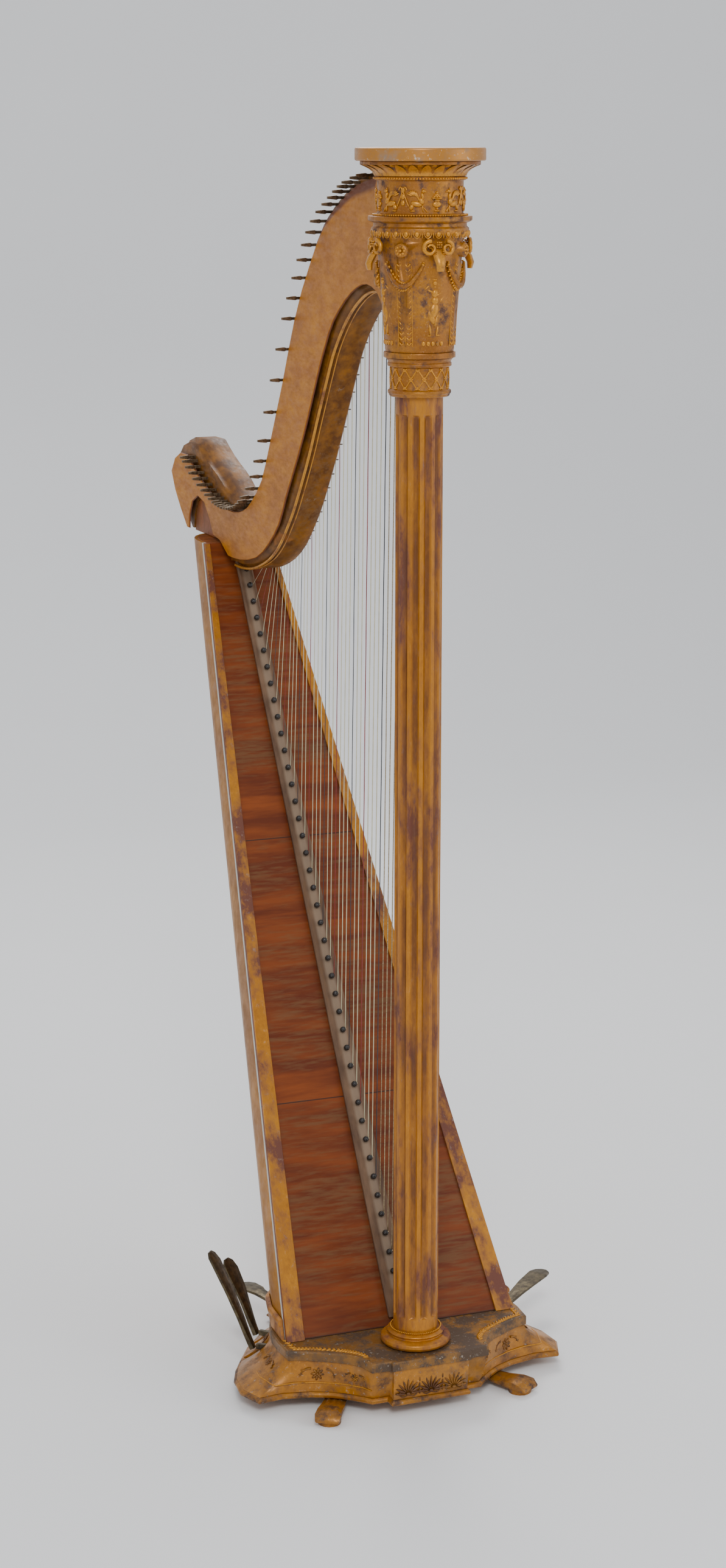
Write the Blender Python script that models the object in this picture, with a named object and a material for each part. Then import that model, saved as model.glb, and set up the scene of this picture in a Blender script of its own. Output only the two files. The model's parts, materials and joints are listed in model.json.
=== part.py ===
"""Single-action pedal harp: fluted column and capital, curved neck, soundbox, strings,
pedal box and seven folding pedals. Metres, +Z up, standing on z = 0, the column on the Z axis,
the column side at -Y, the player at +Y, the strings on the +X side of the neck."""

import math

import bmesh
import bpy
from mathutils import Matrix, Vector

for old in list(bpy.data.objects):
    bpy.data.objects.remove(old, do_unlink=True)

# clearances and facet counts
GAP = 0.0003
SEG, BELL_SEG = 24, 36
# column and capital, radii and heights
SHAFT_R, BORE_R, FLUTES, FLUTE_DEPTH = 0.0308, 0.0155, 12, 0.0026
SHAFT_Z0, SHAFT_Z1 = 0.1050, 1.3865
FLUTE_Z0, FLUTE_Z1 = 0.1250, 1.3640
TORUS_R = 0.0492
LATTICE_R, COLLAR_R, BELL_R0, BELL_R1 = 0.0377, 0.0467, 0.0445, 0.0555
EGG_R, CORNICE_R, FRIEZE_R, DISC_R = 0.0624, 0.0671, 0.0556, 0.0840
TOTAL_H = 1.7000
# base
BOARD_Z0, BOARD_Z1 = 0.0170, 0.0250
BODY_Z1, DECK_Z1 = 0.0692, 0.0830
BLOCK_X, BLOCK_Y = 0.0585, -0.0600
FOOT_X, FOOT_Y, FOOT_R = 0.1420, -0.0390, 0.0161
BACK_FOOT_X, BACK_FOOT_Y = 0.0840, 0.3140
# soundbox: front plane runs up and back from the foot of the board
SB_O = Vector((0.0, 0.0480, 0.0795))
SB_U = Vector((0.0, 0.56050, 0.82815))
SB_N = Vector((0.0, -0.82815, 0.56050))
BOARD_T, STRIP_T, WALL = 0.0047, 0.0030, 0.0050
BOX_Z0, BOX_Z1, RIB_Z0 = 0.0834, 1.0998, 0.0970
HALF_W0, HALF_TAPER = 0.1710, 0.0945
# strings and pins
STRINGS, PEG_S0, PEG_STEP = 43, 0.0260, 0.0275
STRING_X, STRING_TOP_X, RIB_N = 0.0316, 0.0345, 0.0060
PIN_STUB_R, PEG_SIDE_X, HOOK_UP, HOOK_RISE = 0.0019, 0.0058, 0.0090, 0.25
# neck, distances across it
CHEEK_X0, CHEEK_X1, CORE_X0, CORE_X1 = -0.0300, -0.0270, -0.0205, 0.0255
# pedals: azimuth from +Y in degrees, fold hinge radius, blade length, fold at rest in degrees
PEDALS = (("left_1", -54, 0.238, 0.147, 66), ("left_2", -43, 0.252, 0.112, 66),
          ("left_3", -22, 0.284, 0.090, 4), ("right_1", 7, 0.292, 0.090, 4),
          ("right_2", 23, 0.284, 0.090, 4), ("right_3", 39, 0.262, 0.105, 4),
          ("right_4", 54, 0.238, 0.125, 7))
ARM_Z, ARM_H, ARM_W, FULCRUM_R, ROD_R = 0.0480, 0.0080, 0.0044, 0.0780, 0.0115
PIN_HOLE_R, PIN_R = 0.00163, 0.0015

COLOURS = {
    "gilt": (0.62, 0.36, 0.08), "maple": (0.78, 0.42, 0.07), "brown": (0.30, 0.12, 0.04),
    "board": (0.33, 0.12, 0.04), "dark": (0.10, 0.08, 0.07), "bronze": (0.13, 0.11, 0.08),
    "iron": (0.16, 0.15, 0.12), "gut": (0.62, 0.55, 0.36), "red": (0.30, 0.03, 0.03),
    "pine": (0.60, 0.45, 0.27),
}


def finish(name, bm, colour, rough=0.5, metal=0.0, origin=None, smooth=True):
    """Turn a bmesh into a named object with its own material; origin moves the object origin."""
    bmesh.ops.remove_doubles(bm, verts=bm.verts, dist=0.000005)
    bmesh.ops.recalc_face_normals(bm, faces=bm.faces)
    if origin is not None:
        bmesh.ops.translate(bm, verts=bm.verts, vec=-Vector(origin))
    mesh = bpy.data.meshes.new(name)
    bm.to_mesh(mesh)
    bm.free()
    obj = bpy.data.objects.new(name, mesh)
    bpy.context.collection.objects.link(obj)
    if origin is not None:
        obj.location = Vector(origin)
    for poly in mesh.polygons:
        poly.use_smooth = smooth
    mat = bpy.data.materials.new(name)
    mat.use_nodes = True
    shader = mat.node_tree.nodes["Principled BSDF"]
    shader.inputs["Base Color"].default_value = (*COLOURS[colour], 1)
    shader.inputs["Roughness"].default_value = rough
    shader.inputs["Metallic"].default_value = metal
    mesh.materials.append(mat)
    return obj


def add_loft(bm, rings, closed_stack=False):
    """Skin a stack of equal closed rings; the first and last are capped unless the stack closes."""
    rows = [[bm.verts.new(p) for p in ring] for ring in rings]
    count = len(rows[0])
    pairs = list(zip(rows, rows[1:] + rows[:1])) if closed_stack else list(zip(rows, rows[1:]))
    faces = []
    for low, high in pairs:
        for i in range(count):
            j = (i + 1) % count
            faces.append(bm.faces.new((low[i], low[j], high[j], high[i])))
    if not closed_stack:
        faces.append(bm.faces.new(rows[0][::-1]))
        faces.append(bm.faces.new(rows[-1]))
    bmesh.ops.recalc_face_normals(bm, faces=faces)
    return rows


def ring_at(radius, z, seg=SEG, wave=None):
    out = []
    for i in range(seg):
        a = 2 * math.pi * i / seg
        r = radius + (wave(a) if wave else 0.0)
        out.append(Vector((r * math.sin(a), -r * math.cos(a), z)))
    return out


def turned(name, profile, colour, bore=None, seg=SEG, rough=0.45, metal=0.0):
    """A turned body from (radius, z) points low to high, solid or bored right through."""
    bm = bmesh.new()
    rings = [ring_at(r, z, seg) for r, z in profile]
    if bore:
        rings += [ring_at(bore, profile[-1][1], seg), ring_at(bore, profile[0][1], seg)]
        add_loft(bm, rings, closed_stack=True)
    else:
        add_loft(bm, rings)
    return finish(name, bm, colour, rough, metal)


def smooth_path(points, step=2):
    """Catmull-Rom curve through plane points, step samples per span."""
    out = []
    for i in range(len(points) - 1):
        p0 = Vector(points[max(i - 1, 0)])
        p1, p2 = Vector(points[i]), Vector(points[i + 1])
        p3 = Vector(points[min(i + 2, len(points) - 1)])
        for k in range(step):
            t = k / step
            out.append(0.5 * ((2 * p1) + (p2 - p0) * t + (2 * p0 - 5 * p1 + 4 * p2 - p3) * t * t
                              + (3 * p1 - p0 - 3 * p2 + p3) * t ** 3))
    out.append(Vector(points[-1]))
    return out


def signed_area(poly):
    return 0.5 * sum(a[0] * b[1] - b[0] * a[1] for a, b in zip(poly, poly[1:] + poly[:1]))


def inset(poly, dist):
    """Move every side of a closed plane outline inwards by dist (a number or one per corner)."""
    sign = 1.0 if signed_area(poly) > 0 else -1.0
    out, n = [], len(poly)
    for i in range(n):
        d = dist[i] if isinstance(dist, (list, tuple)) else dist
        a, b, c = Vector(poly[i - 1]), Vector(poly[i]), Vector(poly[(i + 1) % n])
        e, f = (b - a).normalized(), (c - b).normalized()
        n1, n2 = Vector((-e.y, e.x)) * sign, Vector((-f.y, f.x)) * sign
        m = (n1 + n2)
        m = m / max(m.dot(n1), 0.35) if m.length > 1e-6 else n1
        out.append(b + m * d)
    return out


def offset_path(path, dist):
    """Shift an open plane path to its left by dist, a number or one per point."""
    out = []
    for i, p in enumerate(path):
        a, b = path[max(i - 1, 0)], path[min(i + 1, len(path) - 1)]
        t = (b - a).normalized()
        d = dist[i] if isinstance(dist, (list, tuple)) else dist
        out.append(p + Vector((-t.y, t.x)) * d)
    return out


def box_rings(centre, size, turn=0.0):
    cx, cy, cz = centre
    sx, sy, sz = (v / 2 for v in size)
    rot = Matrix.Rotation(turn, 3, "Z")
    base = [rot @ Vector((x, y, 0)) for x, y in ((-sx, -sy), (sx, -sy), (sx, sy), (-sx, sy))]
    return [[Vector((cx, cy, cz + dz)) + p for p in base] for dz in (-sz, sz)]


def rod_rings(a, b, radii, sides=6, marks=None):
    """Rings of a many-sided rod from a to b; radii are spread evenly or at the given marks."""
    a, b = Vector(a), Vector(b)
    axis = (b - a).normalized()
    side = axis.orthogonal().normalized()
    up = axis.cross(side)
    marks = marks or [i / (len(radii) - 1) for i in range(len(radii))]
    rings = []
    for t, r in zip(marks, radii):
        c = a.lerp(b, t)
        rings.append([c + r * (side * math.cos(2 * math.pi * k / sides)
                               + up * math.sin(2 * math.pi * k / sides)) for k in range(sides)])
    return rings


def tube_rings(points, radius, sides):
    """Rings of a thin tube along a bent line, square to its local direction."""
    rings = []
    for i, p in enumerate(points):
        along = (points[min(i + 1, len(points) - 1)] - points[max(i - 1, 0)]).normalized()
        first = along.cross(Vector((0.0, 1.0, 0.0)))
        if first.length < 0.05:
            first = along.cross(Vector((1.0, 0.0, 0.0)))
        first.normalize()
        second = along.cross(first)
        turns = [2 * math.pi * q / sides for q in range(sides)]
        rings.append([p + radius * (first * math.cos(a) + second * math.sin(a)) for a in turns])
    return rings


def combine(obj, other_bm, operation):
    """Exact Boolean of an object with a temporary solid, which is then removed."""
    bmesh.ops.recalc_face_normals(other_bm, faces=other_bm.faces)
    mesh = bpy.data.meshes.new("tool")
    other_bm.to_mesh(mesh)
    other_bm.free()
    tool = bpy.data.objects.new("tool", mesh)
    tool.location = obj.location
    mesh.transform(Matrix.Translation(-obj.location))
    bpy.context.collection.objects.link(tool)
    mod = obj.modifiers.new("combine", "BOOLEAN")
    mod.operation, mod.solver, mod.object = operation, "EXACT", tool
    bpy.context.view_layer.update()
    bpy.context.view_layer.objects.active = obj
    bpy.ops.object.modifier_apply(modifier="combine")
    bpy.data.objects.remove(tool, do_unlink=True)
    clean = bmesh.new()
    clean.from_mesh(obj.data)
    bmesh.ops.remove_doubles(clean, verts=clean.verts, dist=0.000001)
    clean.to_mesh(obj.data)
    clean.free()


def cut(obj, cutter_bm):
    combine(obj, cutter_bm, "DIFFERENCE")


def unite(obj, rings):
    """Fuse one more lofted solid with an object that carries it."""
    extra = bmesh.new()
    add_loft(extra, rings)
    combine(obj, extra, "UNION")


def unite_all(obj, lofts):
    """Fuse many small separate solids with the object that carries them."""
    extra = bmesh.new()
    for rings in lofts:
        add_loft(extra, rings)
    combine(obj, extra, "UNION")


# base
ARC = ((0.0864, -0.0573), (0.0925, -0.0330), (0.1050, -0.0175), (0.1180, -0.0075), (0.1420, 0.0070),
       (0.1600, 0.0165), (0.1790, 0.0234))
BACK_TOP = ((0.1815, 0.060), (0.180, 0.090), (0.173, 0.120), (0.161, 0.150), (0.143, 0.180),
            (0.115, 0.210), (0.080, 0.237), (0.042, 0.255))
ARC_LOW = ((0.0810, -0.0440), (0.0905, -0.0330), (0.1080, -0.0170), (0.1250, -0.0045),
           (0.1520, 0.0080), (0.1900, 0.0165), (0.2255, 0.0125))
BACK_LOW = ((0.240, 0.050), (0.236, 0.090), (0.224, 0.120), (0.207, 0.150), (0.183, 0.190),
            (0.148, 0.232), (0.105, 0.267), (0.055, 0.290))


def base_outline(front, block_x, step_y, arc, back, tail_y):
    half = [(block_x, front), (block_x, step_y), *arc, *back]
    return [Vector(p) for p in half] + [Vector((0, tail_y))] + [Vector((-x, y)) for x, y in half[::-1]]


TOP_LINE = base_outline(-0.0625, BLOCK_X, -0.0573, ARC, BACK_TOP, 0.262)
LOW_LINE = base_outline(BLOCK_Y, BLOCK_X, -0.0440, ARC_LOW, BACK_LOW, 0.298)


def flat(outline, z):
    return [Vector((p.x, p.y, z)) for p in outline]


bm = bmesh.new()
add_loft(bm, [flat(inset(LOW_LINE, 0.0015), BOARD_Z0), flat(LOW_LINE, BOARD_Z0 + 0.0015),
              flat(LOW_LINE, BOARD_Z0 + 0.0050), flat(inset(LOW_LINE, 0.0030), BOARD_Z1)])
base_board = finish("base_board", bm, "gilt", smooth=False)

body_low = inset(LOW_LINE, 0.0040)
body_top = inset(TOP_LINE, 0.0030)
bm = bmesh.new()
rings = []
for i in range(6):
    t = i / 5
    k = (1 - t) ** 1.7
    z = BOARD_Z1 + GAP + t * (BODY_Z1 - BOARD_Z1 - GAP)
    rings.append([Vector((a.x * k + b.x * (1 - k), a.y * k + b.y * (1 - k), z))
                  for a, b in zip(body_low, body_top)])
add_loft(bm, rings)
pedal_box = finish("pedal_box", bm, "maple", smooth=False)
hollow = [Vector(p) for p in ((0.040, -0.018), (0.092, -0.004), (0.130, 0.022), (0.166, 0.034),
                              (0.170, 0.060), (0.168, 0.090),
                              (0.161, 0.117), (0.150, 0.143), (0.133, 0.171), (0.106, 0.200),
                              (0.074, 0.225), (0.039, 0.242))]
hollow = hollow + [Vector((-p.x, p.y)) for p in hollow[::-1]]
bm = bmesh.new()
add_loft(bm, [flat(hollow, 0.0100), flat(hollow, 0.0900)])
cut(pedal_box, bm)
for _, az, _, _, _ in PEDALS:
    a = math.radians(az)
    d = Vector((math.sin(a), math.cos(a), 0))
    bm = bmesh.new()
    add_loft(bm, box_rings(d * 0.240 + Vector((0, 0, 0.0400)), (0.0130, 0.1700, 0.0380), -a))
    cut(pedal_box, bm)

bm = bmesh.new()
add_loft(bm, [flat(TOP_LINE, BODY_Z1 + GAP), flat(TOP_LINE, DECK_Z1 - 0.0015),
              flat(inset(TOP_LINE, 0.0015), DECK_Z1)])
deck = finish("base_deck", bm, "gilt", smooth=False)
bm = bmesh.new()
add_loft(bm, [ring_at(BORE_R, 0.05, SEG), ring_at(BORE_R, 0.12, SEG)])
cut(deck, bm)

# feet: a paw on a round pad at each corner
board_cut = inset(LOW_LINE, -0.0006)
for name, sx, fx, fy, out in (("front_left", -1, FOOT_X, FOOT_Y, -1), ("front_right", 1, FOOT_X, FOOT_Y, -1),
                              ("back_left", -1, BACK_FOOT_X, BACK_FOOT_Y, 1),
                              ("back_right", 1, BACK_FOOT_X, BACK_FOOT_Y, 1)):
    pad = Vector((sx * fx, fy, 0))
    heading = Vector((sx * 0.52, out * 0.854, 0)).normalized()
    across_foot = Vector((-heading.y, heading.x, 0))
    rings = []
    for u, half, low, top in ((-0.052, 0.0150, 0.0100, 0.0164), (-0.030, 0.0165, 0.0080, 0.0166),
                              (-0.004, 0.0172, 0.0066, 0.0205), (0.011, 0.0182, 0.0066, 0.0190),
                              (0.0190, 0.0165, 0.0066, 0.0120)):
        ring = []
        for k in range(9):
            v = -1 + k / 4
            crest = top - 0.0018 * (k % 2) - 0.0030 * abs(v) ** 3
            ring.append(pad + heading * u + across_foot * (v * half) + Vector((0, 0, crest)))
        ring += [pad + heading * u + across_foot * (v * half * 0.92) + Vector((0, 0, low)) for v in (1, -1)]
        rings.append(ring)
    bm = bmesh.new()
    add_loft(bm, rings)
    foot = finish(f"foot_{name}", bm, "gilt", 0.35)
    bm = bmesh.new()
    add_loft(bm, [flat(board_cut, BOARD_Z0 - 0.0003), flat(board_cut, BOARD_Z0 + 0.03)])
    cut(foot, bm)
    turns = [k * math.pi / 8 for k in range(16)]
    unite(foot, [[pad + Vector((FOOT_R * math.cos(a), FOOT_R * math.sin(a), z)) for a in turns]
                 for z in (0.0, 0.0078)])

# column
turned("column_base", [(0.0415, 0.0833), (0.0475, 0.0850), (TORUS_R, 0.0885), (0.0480, 0.0930),
                       (0.0420, 0.0958), (0.0375, 0.0966), (0.0375, 0.0985), (0.0398, 0.1000),
                       (0.0398, 0.1018), (0.0370, 0.1030), (0.0345, 0.1047)], "gilt", bore=BORE_R)


def flute_ring(z, k):
    ring = []
    for i in range(FLUTES):
        mid = 2 * math.pi * i / FLUTES
        for off, dip in ((-0.5, 0.0), (-0.34, 0.0), (0.0, 1.0), (0.34, 0.0)):
            a = mid + off * 2 * math.pi / FLUTES
            r = SHAFT_R - FLUTE_DEPTH * dip * k
            ring.append(Vector((r * math.sin(a), -r * math.cos(a), z)))
    return ring


def flare_ring(radius, z):
    return [Vector((p.x, p.y, 0)).normalized() * radius + Vector((0, 0, z)) for p in flute_ring(z, 0)]


bm = bmesh.new()
rings = [flare_ring(0.0335, SHAFT_Z0), flare_ring(SHAFT_R, SHAFT_Z0 + 0.009),
         flute_ring(FLUTE_Z0, 0.0), flute_ring(FLUTE_Z0 + 0.010, 1.0),
         flute_ring(FLUTE_Z1 - 0.010, 1.0), flute_ring(FLUTE_Z1, 0.0),
         flare_ring(SHAFT_R, SHAFT_Z1 - 0.006), flare_ring(0.0320, SHAFT_Z1),
         flare_ring(BORE_R, SHAFT_Z1), flare_ring(BORE_R, SHAFT_Z0)]
add_loft(bm, rings, closed_stack=True)
finish("column_shaft", bm, "gilt")

capital = {
    "capital_foot": [(0.0378, 1.3868), (0.0394, 1.3885), (0.0394, 1.3900), (0.0412, 1.3915),
                     (0.0412, 1.3945), (LATTICE_R, 1.3968), (LATTICE_R, 1.4242), (0.0416, 1.4262),
                     (0.0416, 1.4300), (0.0400, 1.4310), (0.0425, 1.4350), (0.0440, 1.4360)],
    "capital_collar": [(0.0440, 1.4363), (COLLAR_R, 1.4370), (COLLAR_R, 1.4432), (0.0460, 1.4440)],
    "capital_cornice": [(0.0590, 1.5903), (EGG_R, 1.5935), (0.0630, 1.6000), (0.0600, 1.6025),
                        (0.0600, 1.6065), (0.0650, 1.6085), (CORNICE_R, 1.6100), (CORNICE_R, 1.6150),
                        (0.0630, 1.6155)],
    "capital_frieze": [(0.0601, 1.6158), (0.0601, 1.6176), (FRIEZE_R, 1.6184), (FRIEZE_R, 1.6592),
                       (0.0589, 1.6602), (0.0589, 1.6640), (0.0575, 1.6646)],
    "capital_cove": [(0.0575, 1.6649), (0.0600, 1.6690), (0.0650, 1.6740), (0.0735, 1.6790),
                     (0.0774, 1.6793), (0.0774, 1.6833)],
    "crown_disc": [(0.0825, 1.6836), (DISC_R, 1.6850), (DISC_R, 1.6985), (0.0828, TOTAL_H)],
}
for key, prof in capital.items():
    turned(key, prof, "gilt", bore=None if key == "crown_disc" else BORE_R, seg=SEG)


def pilaster(a):
    near = abs((math.degrees(a) + 45) % 90 - 45)
    return 0.0016 if near > 31 else 0.0


bm = bmesh.new()
rings = [ring_at(BELL_R0 - 0.0008, 1.4443, BELL_SEG), ring_at(BELL_R0, 1.4475, BELL_SEG),
         ring_at(BELL_R0, 1.4500, BELL_SEG, pilaster), ring_at(BELL_R1, 1.5840, BELL_SEG, pilaster),
         ring_at(BELL_R1, 1.5850, BELL_SEG), ring_at(0.0575, 1.5900, BELL_SEG),
         ring_at(BORE_R, 1.5900, BELL_SEG), ring_at(BORE_R, 1.4443, BELL_SEG)]
add_loft(bm, rings, closed_stack=True)
bell = finish("capital_bell", bm, "gilt")

# ram heads with scrolled horns (front, left and right of the column), seated against the bell
RAM_BACK_R = 0.0560
for name, deg in (("front", 0), ("right", 90), ("left", 270)):
    spin = Matrix.Rotation(math.radians(deg), 4, "Z")
    head = [(0.0570, 0.0030, 0.0085, 1.5800), (0.0600, 0.0035, 0.0085, 1.5740),
            (0.0660, 0.0050, 0.0080, 1.5650), (0.0700, 0.0045, 0.0062, 1.5560),
            (0.0690, 0.0030, 0.0048, 1.5480)]
    turns = [k * math.pi / 3 for k in range(6)]
    rings = [[spin @ Vector((half * math.cos(a), -max(r + thick * math.sin(a), RAM_BACK_R), z))
              for a in turns] for r, thick, half, z in head]
    bm = bmesh.new()
    add_loft(bm, rings)
    ram = finish(f"ram_head_{name}", bm, "gilt")
    for side in (-1, 1):
        rings = []
        for i in range(8):
            t = i / 7
            ang = math.radians(110 - 400 * t)
            rad = 0.0075 * (1 - 0.55 * t)
            c = Vector((side * (0.0116 + rad * math.cos(ang)), -(0.0602 + 0.0015 * t),
                        1.5740 + rad * math.sin(ang)))
            thick = 0.0024 * (1 - 0.5 * t)
            out = Vector((side * math.cos(ang), 0, math.sin(ang)))
            outward = Vector((0, -1, 0))
            rings.append([spin @ (c + out * (thick * u) + outward * (thick * v))
                          for u, v in ((1, 0), (0, 1), (-1, 0), (0, -1))])
        unite(ram, rings)

# rosettes on the four corners and garlands between the heads are fused with the bell that carries them
ornaments = []
for deg in (45, 135, 225, 315):
    spin = Matrix.Rotation(math.radians(deg), 4, "Z")
    disc = [(0.0520, 0.0085), (0.0610, 0.0100), (0.0635, 0.0080), (0.0640, 0.0040), (0.0625, 0.0022)]
    turns = [k * math.pi / 5 for k in range(10)]
    ornaments.append([[spin @ Vector((r * math.cos(a), -d, 1.5735 + r * math.sin(a))) for a in turns]
                      for d, r in disc])
for start, end in ((-72, -18), (18, 72), (106, 140), (-106, -140)):
    rings = []
    for i in range(8):
        t = i / 7
        a = math.radians(start + (end - start) * t)
        z = 1.5560 - 0.0280 * math.sin(math.pi * t) ** 0.9
        thick = 0.0022 + 0.0018 * math.sin(math.pi * t)
        r = BELL_R0 + (BELL_R1 - BELL_R0) * (z - 1.4500) / 0.1340 + 0.0006 + thick
        c = Vector((r * math.sin(a), -r * math.cos(a), z))
        out = Vector((math.sin(a), -math.cos(a), 0))
        tangent = Vector((math.cos(a), math.sin(a), 0)) * math.copysign(1, end - start)
        up = Vector((0, 0, 1)) - tangent * (-0.9 * math.cos(math.pi * t))
        up.normalize()
        turns = [k * math.pi / 2.5 for k in range(5)]
        rings.append([c + out * (thick * math.cos(b)) + up * (thick * math.sin(b)) for b in turns])
    ornaments.append(rings)
unite_all(bell, ornaments)

# neck
# tuning pin line in the Y-Z plane from the column to the tail, given at some pin numbers
PIN_MARKS = ((1, 0.107, 1.664), (3, 0.160, 1.654), (6, 0.215, 1.633), (9, 0.282, 1.600), (12, 0.337, 1.546),
             (15, 0.401, 1.462), (17, 0.452, 1.372), (19, 0.509, 1.280), (21, 0.545, 1.224),
             (23, 0.591, 1.188), (26, 0.628, 1.170), (30, 0.675, 1.162), (34, 0.728, 1.165),
             (37, 0.782, 1.177), (40, 0.842, 1.197), (43, 0.885, 1.217))


def pin_position(number):
    for (n0, y0, z0), (n1, y1, z1) in zip(PIN_MARKS, PIN_MARKS[1:]):
        if n0 <= number <= n1:
            t = (number - n0) / (n1 - n0)
            line = smooth_path([(m[1], m[2]) for m in PIN_MARKS], 12)
            i = PIN_MARKS.index((n0, y0, z0)) * 12 + t * 12
            j = min(int(i), len(line) - 2)
            return line[j].lerp(line[j + 1], i - j)
    raise ValueError(number)


PINS = [pin_position(k + 1) for k in range(STRINGS)]
pin_line = smooth_path([(0.030, 1.6685), (0.070, 1.6675)] + [(m[1], m[2]) for m in PIN_MARKS], 2)
rise = [0.0052 + 0.0260 * max(0.0, min(1.0, (p.x - 0.655) / 0.11)) ** 1.3 for p in pin_line]
core_top = offset_path(pin_line, rise)
cheek_top = offset_path(pin_line, -0.0056)
CORE_LOW = ((0.030, 1.478), (0.045, 1.489), (0.070, 1.507), (0.105, 1.514), (0.144, 1.508), (0.187, 1.489),
            (0.226, 1.462), (0.262, 1.428), (0.288, 1.393), (0.335, 1.322), (0.370, 1.268),
            (0.425, 1.196), (0.459, 1.160), (0.499, 1.125), (0.545, 1.099), (0.606, 1.079),
            (0.660, 1.071), (0.700, 1.0705))
core_low = smooth_path(CORE_LOW, 2)
tail_core = [(0.918, 1.2445), (0.950, 1.236), (0.975, 1.217), (0.985, 1.185), (0.966, 1.156), (0.938, 1.130),
             (0.905, 1.1035), (0.8960, 1.1035), (0.8930, 1.125), (0.8790, 1.148), (0.8500, 1.160),
             (0.8150, 1.153), (0.7900, 1.130), (0.7800, 1.1035), (0.7300, 1.1035), (0.7120, 1.0760)]
core_outline = core_top + [Vector(p) for p in tail_core] + core_low[::-1]


def across(outline, x):
    return [Vector((x, p.x, p.y)) for p in outline]


def edge_steps(outline, depth):
    """Inset that fades out where the outline meets the soundbox and the column."""
    keep = []
    for p in outline:
        near_box = p.x > 0.70 and p.y < 1.165
        keep.append(0.0 if near_box or p.x < 0.04 else depth)
    return keep


bm = bmesh.new()
rings = []
for x, depth in ((CORE_X0, 0.0075), (-0.0125, 0.0060), (-0.0095, 0.0),
                 (CORE_X1 - 0.0020, 0.0), (CORE_X1, 0.0020)):
    low_only = [d if p.y < 1.30 and p.x > 0.3 or p.y < 1.53 or p.x > 0.66 else min(d, 0.0024)
                for p, d in zip(core_outline, edge_steps(core_outline, depth))]
    top_limit = len(core_top)
    low_only = [min(d, 0.0008) if i < top_limit and core_outline[i].x < 0.66 else d
                for i, d in enumerate(low_only)]
    rings.append(across(inset(core_outline, low_only), x))
add_loft(bm, rings)
neck_core = finish("neck_core", bm, "maple")


def capital_envelope(extra):
    """Turned stack of the whole capital, grown a little, to trim the neck against it."""
    prof = []
    for key in ("capital_foot", "capital_collar"):
        prof += [(r + extra, z) for r, z in capital[key]]
    prof += [(BELL_R0 + 0.0016 + extra, 1.4443), (BELL_R1 + 0.0016 + extra, 1.5840), (0.0575 + extra, 1.5902)]
    for key in ("capital_cornice", "capital_frieze", "capital_cove", "crown_disc"):
        prof += [(r + extra, z) for r, z in capital[key]]
    grown = bmesh.new()
    add_loft(grown, [ring_at(r, z, 96) for r, z in prof])
    return grown


cut(neck_core, capital_envelope(0.0007))

CHEEK_LOW = ((0.030, 1.480), (0.057, 1.499), (0.076, 1.515), (0.114, 1.5235), (0.153, 1.5165),
             (0.195, 1.498), (0.242, 1.467), (0.273, 1.432), (0.300, 1.395), (0.344, 1.327),
             (0.383, 1.272), (0.437, 1.205), (0.468, 1.163), (0.515, 1.127), (0.570, 1.100),
              (0.644, 1.0865), (0.700, 1.0850))
cheek_low = smooth_path(CHEEK_LOW, 2)
tail_cheek = [(0.906, 1.2190), (0.937, 1.2190), (0.965, 1.208), (0.985, 1.185), (0.966, 1.156),
              (0.938, 1.130),
              (0.905, 1.1035), (0.8960, 1.1035), (0.8930, 1.125), (0.8790, 1.148), (0.8500, 1.160),
              (0.8150, 1.153), (0.7900, 1.130), (0.7720, 1.1080), (0.7400, 1.1035)]
cheek_outline = cheek_top + [Vector(p) for p in tail_cheek] + cheek_low[::-1]
bm = bmesh.new()
bevel = []
for i, p in enumerate(cheek_outline):
    wide = 0.0200 * max(0.0, min(1.0, (0.360 - p.x) / 0.22)) + 0.0014 if i > 2 else 0.0014
    bevel.append(wide if i < len(cheek_top) else 0.0010)
add_loft(bm, [across(inset(cheek_outline, bevel), CHEEK_X0), across(cheek_outline, CHEEK_X1 - 0.0006),
              across(cheek_outline, CHEEK_X1)])
cheek = finish("cheek_board", bm, "maple")
cut(cheek, capital_envelope(0.0007))

# spacers that hold the cheek board off the core, fused with the core
SEAT = 0.0040
fittings = []
SPACERS = ((0.110, 1.590, 0.0), (0.330, 1.440, 0.9), (0.480, 1.220, 0.9), (0.660, 1.118, 0.0),
           (0.925, 1.180, 0.0))
for y, z, turn in SPACERS:
    c = Vector((0, y, z))
    rot = Matrix.Rotation(turn, 3, "X")
    face = [rot @ Vector((0, u * 0.016, v * 0.009)) for u, v in ((-1, -1), (1, -1), (1, 1), (-1, 1))]
    fittings.append([[c + p + Vector((x, 0, 0)) for p in face] for x in (CHEEK_X1 + GAP, CORE_X0 + SEAT)])

shoulder = [Vector(p) for p in ((0.7806, 1.1002), (0.8954, 1.1002), (0.8924, 1.1248), (0.8785, 1.1474),
                                (0.8500, 1.1593), (0.8156, 1.1524), (0.7908, 1.1298))]
bm = bmesh.new()
add_loft(bm, [across(shoulder, CORE_X0 + 0.0015), across(shoulder, CORE_X1 - 0.0010)])
finish("shoulder_block", bm, "maple", smooth=False)

# tuning pins through the neck: key end on the left, string end on the right
for p in PINS:
    key_end = rod_rings((CORE_X0 + SEAT, p.x, p.y), (-0.0465, p.x, p.y), (0.0028, 0.0028, 0.0041, 0.0023), 4,
                        (0.0, 0.50, 0.59, 1.0))
    string_end = rod_rings((CORE_X1 - SEAT, p.x, p.y), (0.0375, p.x, p.y), (PIN_STUB_R, PIN_STUB_R), 4)
    fittings += [key_end, string_end]


# soundbox
def half_width(s):
    return HALF_W0 - HALF_TAPER * s


def box_depth(s):
    return 0.1650 - 0.0500 * s


def side_depth(s):
    return 0.0520 - 0.0080 * s


def board_point(x, s, n):
    return SB_O + SB_U * s + SB_N * n + Vector((x, 0, 0))


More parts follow.
